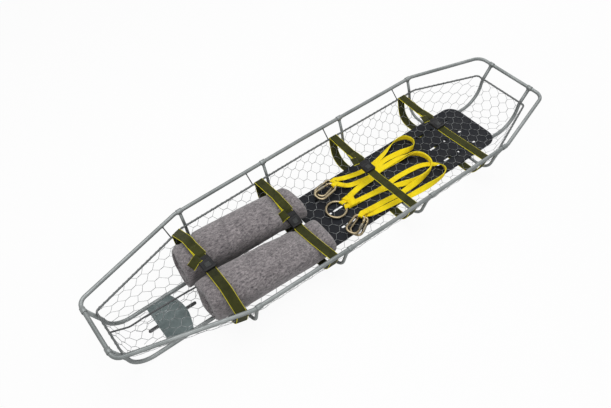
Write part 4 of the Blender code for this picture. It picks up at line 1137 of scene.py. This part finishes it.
def strap_line(number):
    """The whole line: out of the socket, over the near rail, under the basket and back to the buckle."""
    _, near, far = STRAPS[number]
    mouth, way = buckle_line(number)
    near_points = [flat_point(y, z) for y, z, _ in near]
    far_points = [flat_point(y, z) for y, z, _ in far]
    near_bilge, far_bilge = under_corner(number, -1), under_corner(number, 1)
    near_rail = over_rail(number, -1, near_points[-1], near_bilge)
    far_rail = over_rail(number, 1, far_points[-1] if far_points else mouth, far_bilge)
    start = mouth - way * (SOCKET_LENGTH - SOCKET_GRIP / 2)
    points = [start, *near_points, near_rail, near_bilge, far_bilge, far_rail, *far_points[::-1], mouth + way * 0.001]
    wrap = wrap_radius(number)
    radii = [0, *[r for _, _, r in near], wrap, BILGE_R, BILGE_R, wrap, *[r for _, _, r in far[::-1]], 0]
    return rounded(points, radii, step=math.radians(10))


def flat_outline(half, thick, corner=0.0005):
    """A flat band's section, with rounded edges and points across its faces for the weave to follow."""
    t = thick / 2
    row = [half - corner, half * 0.6, half * 0.2, -half * 0.2, -half * 0.6, corner - half]
    return [
        (half, t - corner), *[(x, t) for x in row], (-half, t - corner),
        (-half, corner - t), *[(x, -t) for x in row[::-1]], (half, corner - t),
    ]


# %% Weave the straps
for number in range(4):
    x = STRAP_PLACES[number]
    line = [p + Vector((x, 0, 0)) for p in strap_line(number)]
    ups = []
    for k in range(len(line)):
        way = (line[min(k + 1, len(line) - 1)] - line[max(k - 1, 0)]).normalized()
        ups.append(Vector((1, 0, 0)).cross(way))
    strap = swept(flat_outline(STRAP_HALF, STRAP_T), frames_along(line, ups))
    for vert in strap.verts:
        vert.co.y *= level(LOWER_STATIONS, vert.co.x) / level(LOWER_STATIONS, x)
    piece(f"webbing_strap_{number + 1}", strap, OLIVE_WEB, replaced=[f"strap_{number + 1}"])
    print("strap", number + 1, "with", len(line), "points")

# %% [markdown]
# ## Folded tails
# The loose end of each strap comes out of the adjuster on the tongue, is folded back on itself and sewn down. It is
# the same webbing, swept along a hairpin, and it slides with the tongue.

# %% Fold the tails
TAIL_FROM = 0.0201
TAIL_LENGTH = 0.065
TAIL_T = 0.0032
LAYER_T = 0.0013


def buckle_base(number):
    """A buckle's placing: X across the strap, Y along it towards the tongue, and Z away from it."""
    mouth, way = buckle_line(number)
    turn = Matrix.Rotation(math.atan2(way.z, way.y), 4, "X")
    return Matrix.Translation((STRAP_PLACES[number], mouth.y, mouth.z)) @ turn


for number in range(4):
    base = buckle_base(number)
    low = STRAP_T / 2 + CLEAR + LAYER_T / 2 + 0.0001
    high = low + TAIL_T - LAYER_T - 0.0002
    end = TAIL_FROM + TAIL_LENGTH - 0.0004
    bend = (high - low) / 2
    route = [(TAIL_FROM + 0.0003 + 0.009 * k, low) for k in range(7)]
    route += [
        (end - bend - LAYER_T / 2 + bend * math.sin(a), (low + high) / 2 - bend * math.cos(a))
        for a in (0.0, 0.52, 1.05, 1.57, 2.09, 2.62, 3.14)
    ]
    route += [(TAIL_FROM + 0.054 - 0.0115 * k, high + 0.0005 * math.sin(k * 0.8)) for k in range(5)]
    line = [base @ Vector((0, y, z)) for y, z in route]
    across = base.to_3x3() @ Vector((1, 0, 0))
    ups = []
    for k in range(len(line)):
        way = (line[min(k + 1, len(line) - 1)] - line[max(k - 1, 0)]).normalized()
        ups.append(across.cross(way))
    tail = swept(flat_outline(STRAP_HALF - 0.0002, LAYER_T, 0.0004), frames_along(line, ups))
    to_base = base.inverted()
    for vert in tail.verts:
        spot = to_base @ vert.co
        rise = max(0.0, min(1.0, (spot.z - low - 0.0006) / (high - low)))
        vert.co += across * (0.11 * rise * (end - spot.y))
    piece(
        f"folded_tail_{number + 1}", tail, OLIVE_WEB, rider=f"tongue_{number + 1}",
        replaced=[f"strap_tail_{number + 1}"],
    )

# %% Let the tails' ends hang
def hanging_end(number, run, y, lean):
    """The very end of a strap's tail: it comes out at the foot side of the buckle and lies over the wool."""
    base = buckle_base(number)
    line = [base @ Vector((x, y + lean * (-x - 0.010), z)) for x, z in run]
    long = base.to_3x3() @ Vector((0, 1, 0))
    ups = []
    for k in range(len(line)):
        way = (line[min(k + 1, len(line) - 1)] - line[max(k - 1, 0)]).normalized()
        ups.append(long.cross(way))
    flap = swept(flat_outline(STRAP_HALF - 0.0004, LAYER_T, 0.0004), frames_along(line, ups))
    return piece(
        f"tail_end_{number + 1}", flap, OLIVE_WEB, rider=f"tongue_{number + 1}"
    )


HUNG = [
    (-0.010, 0.0082), (-0.018, 0.0084), (-0.025, 0.0070), (-0.031, 0.0035),
    (-0.037, -0.0010), (-0.044, -0.0050), (-0.052, -0.0075),
]
FLAT = [(-0.010, 0.0078), (-0.017, 0.0082), (-0.024, 0.0076), (-0.030, 0.0062), (-0.036, 0.0052)]
hanging_end(0, HUNG, 0.0225, -0.25)
hanging_end(1, HUNG, 0.0225, -0.10)
hanging_end(2, FLAT, 0.032, 0.3)
hanging_end(3, FLAT, 0.032, 0.3)

# %% [markdown]
# ## Lifting bridle
# Four legs of yellow webbing leave a steel ring, run up the board, turn back in open bights and end at carabiners.
# Each leg is about a metre long. A leg lies flat where it runs straight and stands on edge in its bight, because
# webbing can't bend sideways. Its route is a row of places with the layer that it lies on and how upright it is.

# %% Carabiners' places and the legs' routes
BAR_R = 0.0055
LOCK_R = 0.0070
WEB_T = 0.0024
WEB_LIFT = 0.0029
CARABINER = (
    (0.0240, -0.0265, 0.0), (0.0485, -0.0235, 0.018), (0.0485, 0.0280, 0.022),
    (-0.0485, 0.0180, 0.018), (-0.0485, -0.0200, 0.013), (-0.0300, -0.0235, 0.0),
)
CARABINERS = (
    ((0.030, 0.112), 190.0, False, 0), ((-0.004, -0.126), 204.0, True, 1),
    ((0.010, -0.133), 207.0, True, 0), ((0.012, 0.088), 184.0, False, 1),
)
LEGS = (
    (
        (0.0412, 0.004, 0, 0), (0.110, 0.020, 0, 0), (0.160, 0.026, 1, 0), (0.226, 0.033, 1, 0),
        (0.285, 0.062, 1.1, 0), (0.350, 0.077, 0.5, 0), (0.425, 0.066, 0.2, 0.3), (0.468, 0.052, 0, 0.7),
        (0.502, 0.052, 0, 1), (0.525, 0.078, 0, 1), (0.519, 0.112, 0, 1), (0.488, 0.129, 0, 1),
        (0.436, 0.127, 0.2, 0.7), (0.366, 0.106, 0.2, 0.3), (0.290, 0.091, 0.1, 0), (0.216, 0.091, 0.1, 0),
        (0.144, 0.108, 0.2, 0), (0.110, 0.118, 1.5, 0),
    ),
    (
        (0.0412, 0.004, 1, 0), (0.110, 0.020, 1, 0), (0.160, 0.026, 2, 0), (0.226, 0.028, 2.1, 0),
        (0.276, 0.042, 2.3, 0), (0.340, 0.045, 1.7, 0), (0.405, 0.041, 1.9, 0.2), (0.455, 0.027, 1.5, 0.7),
        (0.488, 0.002, 1.2, 1), (0.500, -0.035, 1.2, 1), (0.492, -0.072, 1.2, 1), (0.462, -0.098, 1.2, 1),
        (0.410, -0.110, 0.7, 0.8), (0.345, -0.112, 0.3, 0.3), (0.285, -0.111, 0.4, 0), (0.241, -0.108, 0.2, 0),
        (0.185, -0.102, 1.1, 0), (0.130, -0.098, 1.2, 0), (0.085, -0.099, 4.5, 0),
    ),
    (
        (0.0412, -0.0235, 1, 0), (0.114, -0.030, 1, 0), (0.178, -0.038, 1, 0), (0.239, -0.041, 1.4, 0),
        (0.300, -0.036, 1.5, 0), (0.352, -0.035, 0.2, 0), (0.427, -0.042, 0, 0), (0.468, -0.055, 0, 0),
        (0.500, -0.077, 0, 0), (0.517, -0.106, 0.2, 0.5), (0.512, -0.138, 0.2, 1), (0.485, -0.157, 0.4, 1),
        (0.440, -0.163, 0.5, 0.9), (0.390, -0.161, 0.6, 0.6), (0.339, -0.154, 0.4, 0.2), (0.291, -0.147, 0.2, 0),
        (0.236, -0.136, 0, 0), (0.133, -0.122, 0, 0), (0.088, -0.115, 1.5, 0),
    ),
    (
        (0.0412, -0.0235, 0, 0), (0.114, -0.030, 0, 0), (0.178, -0.038, 0, 0), (0.239, -0.050, 0, 0),
        (0.296, -0.072, 0.2, 0.1), (0.350, -0.097, 0.2, 0.6), (0.400, 0.036, 0, 0.2), (0.340, 0.044, 0, 0),
        (0.276, 0.046, 0, 0), (0.233, 0.043, 0, 0), (0.190, 0.049, 0, 0), (0.130, 0.060, 1, 0),
        (0.098, 0.072, 5, 0),
    ),
)
LEANS = (-1, 1, 1, -1)
FOLLOWED = ((12, 1.4), (11, 1.15), (10, 1.1), (9, 1.15), (8, 1.6), (7, 2.4))
JOIN_AT = 6
SQUARE_RUN = 0.012
LEG_STEPS = 6


def carabiner_base(number):
    """Where a carabiner lies: X points to its wide end, and Z up or down as it is flipped."""
    (x, y), heading, flipped, layer = CARABINERS[number]
    z = NET_TOP + CLEAR + LOCK_R + layer * (2 * LOCK_R + CLEAR)
    turn = Matrix.Rotation(math.radians(heading), 4, "Z")
    flip = Matrix.Rotation(math.pi if flipped else 0.0, 4, "X")
    return Matrix.Translation((x, y, z)) @ turn @ flip


def leg_places(number):
    made = []
    for x, y, layers, upright in LEGS[number]:
        turn = upright * math.pi / 2
        rest = WEB_HALF * math.sin(turn) + WEB_T / 2 * math.cos(turn)
        made.append((x, y, NET_TOP + CLEAR + rest + layers * WEB_LIFT, turn))
    return made


def inner_places():
    """The fourth leg lies against the inner face of the second one's bight."""
    outer = leg_places(1)
    made = []
    for k, apart in FOLLOWED:
        x, y, z, turn = outer[k]
        ahead = Vector(outer[k + 1][:2]) - Vector(outer[k - 1][:2])
        inward = Vector((ahead.y, -ahead.x)).normalized() * math.sin(turn) * WEB_LIFT * apart
        made.append((x + inward.x, y + inward.y, z - math.cos(turn) * WEB_LIFT * apart, turn))
    return made


def smooth_line(points, steps):
    """A smooth curve through these places (a Catmull-Rom spline)."""
    made = []
    ends = [points[0], *points, points[-1]]
    for a, b, c, d in zip(ends, ends[1:], ends[2:], ends[3:]):
        for k in range(steps):
            t = k / steps
            made.append(tuple(
                0.5 * (2 * q + (r - p) * t + (2 * p - 5 * q + 4 * r - s) * t**2 + (3 * q - p - 3 * r + s) * t**3)
                for p, q, r, s in zip(a, b, c, d)
            ))
    made.append(tuple(points[-1]))
    return made


def leg_line(number):
    """The leg's points with their turn; the last run is square to the carabiner's narrow end."""
    places = leg_places(number)
    if number == 3:
        places[JOIN_AT:JOIN_AT] = inner_places()
    base = carabiner_base(number)
    across = base.to_3x3() @ Vector((-1, 0, 0))
    end = base @ Vector((CARABINER[3][0], -0.001, 0)) + across * (BAR_R + 0.0006)
    places.append((*(end + across * SQUARE_RUN), 0.0))
    return [*smooth_line(places, LEG_STEPS), (*end, 0.0)]


# %% [markdown]
# ## Carabiners and the ring
# A carabiner is a forged bar, bent to a pear shape, with a gate that swings on a pin and a knurled sleeve that locks
# it. The bar is swept along its bent outline and ends in a fork; gate, pin and sleeve are turned profiles. The gate
# rides on its hinge and the sleeve on its own joint, so both have to be separate pieces.

# %% Forge the bars
GATE_HOLE_R = 0.0022
GATE_PIN_R = 0.0018
GATE_R = 0.0045
FORK_SLOT = 0.0024
FORK_BACK = 0.0078
LOCK_FROM = 0.020
LOCK_LENGTH = 0.030
HINGE = Vector((*CARABINER[-1][:2], 0))
NOSE = Vector((*CARABINER[0][:2], 0))
GATE_WAY = (NOSE - HINGE).normalized()


def forge_bar(number):
    base = carabiner_base(number)
    corners = [Vector((x, y, 0)) for x, y, _ in CARABINER]
    corners[-1] = HINGE + (corners[-2] - HINGE).normalized() * FORK_BACK
    line = rounded(corners, [r for _, _, r in CARABINER])
    spots = frames_along(line)
    tip = spots[0].copy()
    tip.translation += (line[0] - line[1]).normalized() * 0.0004
    body = sweep(bmesh.new(), circle(BAR_R, 16), [tip @ Matrix.Diagonal((0.82, 0.82, 1, 1)), *spots])
    start = math.asin(FORK_SLOT / BAR_R)
    arc = [start + (math.pi - 2 * start) * k / 8 for k in range(9)]
    for flip in (1, -1):
        half = [(BAR_R * math.cos(a), flip * BAR_R * math.sin(a)) for a in arc]
        sweep(body, half, frames_along([corners[-1], HINGE]))
        profile = (
            (GATE_HOLE_R, flip * FORK_SLOT), (BAR_R, flip * FORK_SLOT), (BAR_R, flip * (BAR_R - 0.0008)),
            (BAR_R - 0.0008, flip * BAR_R), (GATE_HOLE_R + 0.0004, flip * BAR_R), (GATE_HOLE_R, flip * (BAR_R - 0.0004)),
        )
        turned(body, profile, Matrix.Translation(HINGE), 24)
    bmesh.ops.transform(body, matrix=base, verts=body.verts)
    label = number + 1
    return piece(
        f"forged_carabiner_{label}", finished(body), FITTING_ZINC, replaced=[f"carabiner_{label}"]
    )


# %% Turn the gates and sleeves
def turn_gate(number):
    label = number + 1
    pivot = carabiner_base(number) @ Matrix.Translation(HINGE) @ Matrix.Rotation(math.atan2(GATE_WAY.y, GATE_WAY.x), 4, "Z")
    along = Matrix.Rotation(math.pi / 2, 4, "Y")
    start, end = BAR_R + 0.0013, (NOSE - HINGE).length - 0.0008
    rod = ((0, start), (GATE_R - 0.0006, start), (GATE_R, start + 0.0006), (GATE_R, end - 0.0008), (GATE_R - 0.0008, end), (0, end))
    gate = turned(bmesh.new(), rod, pivot @ along, 20, closed=False)
    pin_half = BAR_R - CLEAR
    pin = ((0, -pin_half), (GATE_PIN_R, -pin_half), (GATE_PIN_R, pin_half), (0, pin_half))
    turned(gate, pin, pivot, 14, closed=False)
    tang = bmesh.ops.create_cube(gate, size=1.0)["verts"]
    shape = Matrix.Translation((start / 2 - 0.0005, 0, 0)) @ Matrix.Diagonal((start + 0.007, 0.008, 0.0042, 1))
    bmesh.ops.transform(gate, matrix=pivot @ shape, verts=tang)
    edges = list({e for v in tang for e in v.link_edges})
    bmesh.ops.bevel(gate, geom=edges, offset=0.0008, segments=2, profile=0.5, affect="EDGES", material=-1)
    return piece(
        f"turned_gate_{label}", finished(gate), FITTING_ZINC, rider=f"gate_{label}",
        replaced=[f"carabiner_gate_{label}"],
    )


def knurl(vert):
    """Presses a groove into every second column of points between the sleeve's plain ends."""
    turn = round(math.atan2(vert.co.y, vert.co.x) / (2 * math.pi / 40))
    inside = LOCK_FROM + 0.0045 < vert.co.z < LOCK_FROM + LOCK_LENGTH - 0.0045
    if inside and vert.co.xy.length > LOCK_R - 0.0008:
        vert.co.xy *= 0.93 if turn % 2 else 1.0


def turn_sleeve(number):
    label = number + 1
    pivot = carabiner_base(number) @ Matrix.Translation(HINGE) @ Matrix.Rotation(math.atan2(GATE_WAY.y, GATE_WAY.x), 4, "Z")
    along = Matrix.Rotation(math.pi / 2, 4, "Y")
    low, high = LOCK_FROM, LOCK_FROM + LOCK_LENGTH
    bore = GATE_R + CLEAR
    outside = [(LOCK_R - 0.0007, low), (LOCK_R, low + 0.0007), (LOCK_R, low + 0.0035), (LOCK_R - 0.0006, low + 0.0040)]
    outside += [(LOCK_R, low + 0.0046 + 0.00416 * k) for k in range(6)]
    outside += [(LOCK_R - 0.0006, high - 0.0040), (LOCK_R, high - 0.0035), (LOCK_R, high - 0.0007), (LOCK_R - 0.0007, high)]
    profile = [(bore, low), *outside, (bore, high)]
    sleeve = turned(bmesh.new(), profile, pivot @ along, 40, shape=knurl)
    return piece(
        f"knurled_sleeve_{label}", finished(sleeve), SLEEVE_ZINC, rider=f"lock_{label}",
        replaced=[f"carabiner_sleeve_{label}"],
    )


FITTINGS = [[forge_bar(number), turn_gate(number), turn_sleeve(number)] for number in range(4)]
print("carabiners:", [made.name for trio in FITTINGS for made in trio][:3], "and nine more")

# %% Weld the ring
RING_MIDDLE = Vector((-0.008, -0.008, NET_TOP + CLEAR + 0.0055))
RING_R = 0.0435
RING_BAR_R = 0.0055
profile = [(RING_R + x, z) for x, z in circle(RING_BAR_R, 14)]
ring = turned(bmesh.new(), profile, Matrix.Translation(RING_MIDDLE), 64)
seam = toward(RING_MIDDLE + Vector((-RING_R, 0, 0)), (0, 1, 0))
turned(ring, [(RING_BAR_R - 0.0008, -0.0018), (RING_BAR_R + 0.0001, -0.0006), (RING_BAR_R + 0.0001, 0.0006),
              (RING_BAR_R - 0.0008, 0.0018)], seam, 18)
piece("welded_ring", finished(ring), FITTING_ZINC, replaced=["bridle_ring"])

# %% Weave the legs
def leg_frames(number, widths=None):
    """Frames of a leg: its face turns from up to sideways as it stands on edge."""
    line = leg_line(number)
    points = [Vector(p[:3]) for p in line]
    ups = []
    for k, (spot, place_) in enumerate(zip(points, line)):
        way = (points[min(k + 1, len(points) - 1)] - points[max(k - 1, 0)]).normalized()
        side = way.cross(Vector((0, 0, 1))).normalized()
        up = side.cross(way)
        turn = place_[3]
        width = up * math.sin(turn) + side * (LEANS[number] * math.cos(turn))
        face = width.cross(way)
        ups.append(face if face.z >= 0 or turn > 1.2 else -face)
    for k in range(1, len(ups)):
        if ups[k].dot(ups[k - 1]) < 0:
            ups[k] = -ups[k]
    return points, ups


for number in range(4):
    points, ups = leg_frames(number)
    web = swept(flat_outline(WEB_HALF, WEB_T), frames_along(points, ups))
    leg = piece(f"bridle_webbing_{number + 1}", web, YELLOW_WEB, replaced=[f"bridle_leg_{number + 1}"])

# %% [markdown]
# ## Sewn eyes and ring turns
# Webbing holds a fitting by going round it: its end is laid back along the band and sewn. Each eye is one more band
# on the leg's own frames: along its top, round the bar, and a little way back under it. At the ring both legs of a
# side share one turn. The band is pulled narrower there, and shifts sideways to follow the bend of the bar.

# %% Sew the eyes
EYE_T = 0.0013
EYE_HALF = 0.0100
EYE_REACH = 0.055
EYE_TOPS = []


def sag_of_bar(y):
    """How far the narrow end of a carabiner lies in from its corner-to-corner line at this place across it."""
    if y > 0:
        return 0.018 - math.sqrt(max(0.0, 0.018**2 - y**2))
    if y < -0.007:
        return 0.013 - math.sqrt(max(0.0, 0.013**2 - (-0.007 - y) ** 2))
    return 0.0


def sew_eye(number):
    points, ups = leg_frames(number)
    base = carabiner_base(number)
    out = base.to_3x3() @ Vector((-1, 0, 0))
    bar = base @ Vector((CARABINER[3][0], -0.001, 0))
    lift = WEB_T / 2 + EYE_T / 2 + 0.0001
    radius = BAR_R + EYE_T / 2 + 0.0001
    sign = 1 if ups[-1].z > 0 else -1
    gone, top, under = 0.0, [], []
    for k in range(len(points) - 1, 0, -1):
        gone += (points[k] - points[k - 1]).length
        if 0.0125 < gone < EYE_REACH:
            top.append(points[k] + ups[k] * sign * lift)
        if 0.0125 < gone < 0.030:
            under.append(points[k] - ups[k] * sign * lift)
    high = Vector((0, 0, 1))
    round_bar = [
        bar + out * radius * math.cos(math.radians(a)) + high * radius * math.sin(math.radians(a))
        for a in range(60, 301, 20)
    ]
    line = [*top[::-1], *round_bar, *under]
    widths = [1.2] * len(top) + [1.0] * len(round_bar) + [1.2] * len(under)
    width_way = ups[-1].cross(points[-1] - points[-2]).normalized()
    normals = []
    for k in range(len(line)):
        way = (line[min(k + 1, len(line) - 1)] - line[max(k - 1, 0)]).normalized()
        normals.append(width_way.cross(way) * -sign)
    eye = swept(flat_outline(EYE_HALF, EYE_T, 0.0004), frames_along(line, normals, widths=widths))
    back_to_base = base.inverted()
    for vert in eye.verts:
        spot = back_to_base @ vert.co
        near = max(0.0, min(1.0, 1.0 - (abs(spot.x - CARABINER[3][0]) - radius) / 0.012))
        vert.co -= out * sag_of_bar(spot.y) * near
    EYE_TOPS.append((line[:len(top)], normals[:len(top)]))
    return piece(f"sewn_eye_{number + 1}", eye, YELLOW_WEB)


EYES = [sew_eye(number) for number in range(4)]
print("eyes:", [len(eye.data.polygons) for eye in EYES])

# %% Turn the webbing round the ring
def ring_turn(name, y):
    """One turn of webbing round the ring's bar, from above the upper leg to below the lower one."""
    dy = y - RING_MIDDLE.y
    bar_x = RING_MIDDLE.x + math.sqrt(RING_R**2 - dy**2)
    radius = RING_BAR_R + EYE_T / 2 + 0.0001
    top_z = NET_TOP + CLEAR + 2 * WEB_LIFT + EYE_T
    arc = [
        Vector((bar_x + radius * math.cos(a), y, RING_MIDDLE.z + radius * math.sin(a)))
        for a in [math.radians(35 + 20 * k) for k in range(14)]
    ]
    lead = [Vector((0.066 - 0.006 * k, y + 0.0012 * (3 - k), top_z + 0.0004 * k)) for k in range(4)]
    line = [*lead, *arc]
    normals = []
    for k in range(len(line)):
        way = (line[min(k + 1, len(line) - 1)] - line[max(k - 1, 0)]).normalized()
        normals.append(way.cross(Vector((0, 1, 0))) * -1)
    turn = swept(flat_outline(EYE_HALF, EYE_T, 0.0004), frames_along(line, normals))
    for vert in turn.verts:
        away = vert.co.y - RING_MIDDLE.y
        fade = max(0.0, min(1.0, (0.060 - vert.co.x) / 0.020))
        vert.co.x += (math.sqrt(RING_R**2 - away**2) - math.sqrt(RING_R**2 - dy**2)) * fade
    return piece(name, turn, YELLOW_WEB)


ring_turn("ring_turn_far", 0.004)
ring_turn("ring_turn_near", -0.0235)

# %% Hitch the legs together
def hitch(name, x, lean, half_wide, middle_y, rise):
    """A flat wrap of webbing round both pairs of legs: a rounded loop that stands across them."""
    low = NET_TOP + CLEAR + EYE_T / 2 + 0.0001
    high = NET_TOP + CLEAR + rise
    corners = [Vector((0, -half_wide, low)), Vector((0, half_wide, low)), Vector((0, half_wide, high)), Vector((0, -half_wide, high))]
    loop = rounded(corners, [0.0032] * 4, closed=True, step=math.radians(15))
    loop = [p.lerp(q, k / 3) for p, q in zip(loop, loop[1:] + loop[:1]) for k in range(3 if (q - p).length > 0.01 else 1)]
    line = [Vector((x + lean * p.y, middle_y + p.y, p.z + 0.0010 * math.cos(p.y * 90) * (p.z > low + 0.002))) for p in loop]
    centre = Vector((x, middle_y, (low + high) / 2))
    ups = [(p - centre).normalized() for p in line]
    for k, p in enumerate(line):
        way = (line[(k + 1) % len(line)] - line[k - 1]).normalized()
        ups[k] = way.cross(Vector((1, 0, 0)))
        if ups[k].dot(p - centre) < 0:
            ups[k] = -ups[k]
    wrap = swept(flat_outline(0.0115, EYE_T, 0.0004), frames_along(line, ups, closed=True), closed=True)
    return piece(name, wrap, YELLOW_WEB)


hitch("ring_hitch_1", 0.064, 0.10, 0.0285, -0.0095, 0.0112)
hitch("ring_hitch_2", 0.071, -0.45, 0.0300, -0.0095, 0.0132)
hitch("ring_hitch_3", 0.076, 0.42, 0.0290, -0.0095, 0.0152)

# %% [markdown]
# ## Buckle trim
# The push button has moulded grip ribs, and the housing a raised rim round it. Both are small bevelled bars, laid
# out in the buckle's own frame: X across the strap, Y along it, Z up from it.

# %% Trim the buckles
BUTTON_TOP = 0.0124
BUTTON_BACK = 0.023
HOUSING_TOP = 0.0110


def bar(body, low, high, base, bevel):
    """A bevelled bar between two corners in the buckle's frame."""
    low, high = Vector(low), Vector(high)
    verts = bmesh.ops.create_cube(body, size=1.0)["verts"]
    shape = Matrix.Translation((low + high) / 2) @ Matrix.Diagonal((*(high - low), 1))
    bmesh.ops.transform(body, matrix=base @ shape, verts=verts)
    edges = list({e for v in verts for e in v.link_edges})
    bmesh.ops.bevel(body, geom=edges, offset=bevel, segments=2, profile=0.5, affect="EDGES", material=-1)


for number in range(4):
    base = buckle_base(number)
    ribs = bmesh.new()
    for k in range(5):
        y = 0.0032 * (k - 2) - BUTTON_BACK
        bar(ribs, (-0.0072, y - 0.0008, BUTTON_TOP - 0.0002), (0.0072, y + 0.0008, BUTTON_TOP + 0.0005), base, 0.0003)
    piece(f"button_ribs_{number + 1}", finished(ribs), BUTTON_PLASTIC, rider=f"button_{number + 1}")
    rim = bmesh.new()
    inner, outer, top = 0.0106, 0.0128, HOUSING_TOP + 0.0009
    for side in (-1, 1):
        bar(rim, (min(side * inner, side * outer), -BUTTON_BACK - outer, HOUSING_TOP - 0.0004),
            (max(side * inner, side * outer), -BUTTON_BACK + outer, top), base, 0.0004)
        y_low, y_high = sorted((side * inner - BUTTON_BACK, side * outer - BUTTON_BACK))
        bar(rim, (-inner, y_low, HOUSING_TOP - 0.0004), (inner, y_high, top), base, 0.0004)
    for side in (-1, 1):
        for k in range(4):
            x = side * (0.0150 + 0.0022 * k)
            bar(rim, (x - 0.0006, -0.038, HOUSING_TOP - 0.0004), (x + 0.0006, -0.008, HOUSING_TOP + 0.0005), base, 0.0003)
    piece(f"buckle_rim_{number + 1}", finished(rim), BUCKLE_PLASTIC)
    lip = bmesh.new()
    for k in range(3):
        y = 0.0055 + 0.0045 * k
        bar(lip, (-0.0205, y - 0.0009, 0.0061), (0.0205, y + 0.0009, 0.0072), base, 0.0004)
    piece(f"tongue_ribs_{number + 1}", finished(lip), BUCKLE_PLASTIC, rider=f"tongue_{number + 1}")
print("four buckles trimmed")

# %% [markdown]
# ## Stitching
# Folded webbing is sewn down with thick thread. Each stitch is a tiny bevelled bar that stands a little proud of the
# band, laid out in rows on the frames that the band was swept along, or in the buckle's frame for the tails.

# %% Sew the folds down
OLIVE_THREAD = moulded("olive_thread", (0.11, 0.11, 0.035), 0.75)
YELLOW_THREAD = moulded("yellow_thread", (0.78, 0.47, 0.010), 0.75)
STITCH = 0.0032

for number, (line, normals) in enumerate(EYE_TOPS):
    thread = bmesh.new()
    spots = frames_along(line, normals)
    for k in range(1, len(spots) - 2):
        run = (line[k + 1] - line[k]).length
        count = max(1, round(run / STITCH))
        for step in range(count):
            spot = spots[k].copy()
            spot.translation = line[k].lerp(line[k + 1], (step + 0.5) / count)
            face = EYE_T / 2
            for x in (-0.0092, 0.0092):
                bar(thread, (x - 0.0003, face - 0.0003, -0.0011), (x + 0.0003, face + 0.0003, 0.0011), spot, 0.0001)
            swing = 0.0080 * math.sin((k * count + step) * 0.9)
            bar(thread, (swing - 0.0011, face - 0.0003, -0.0003), (swing + 0.0011, face + 0.0003, 0.0003), spot, 0.0001)
    piece(f"eye_stitches_{number + 1}", finished(thread), YELLOW_THREAD)

for number in range(4):
    thread = bmesh.new()
    base = buckle_base(number)
    top = STRAP_T / 2 + CLEAR + TAIL_T
    for back in (0.006, 0.010):
        y = TAIL_FROM + TAIL_LENGTH - back
        for k in range(10):
            x = -0.0155 + 0.00344 * k + 0.11 * back
            bar(thread, (x - 0.0012, y - 0.0003, top - 0.0003), (x + 0.0012, y + 0.0003, top + 0.0003), base, 0.0001)
    piece(
        f"tail_stitches_{number + 1}", finished(thread), OLIVE_THREAD, rider=f"tongue_{number + 1}"
    )
print("eyes and tails sewn")
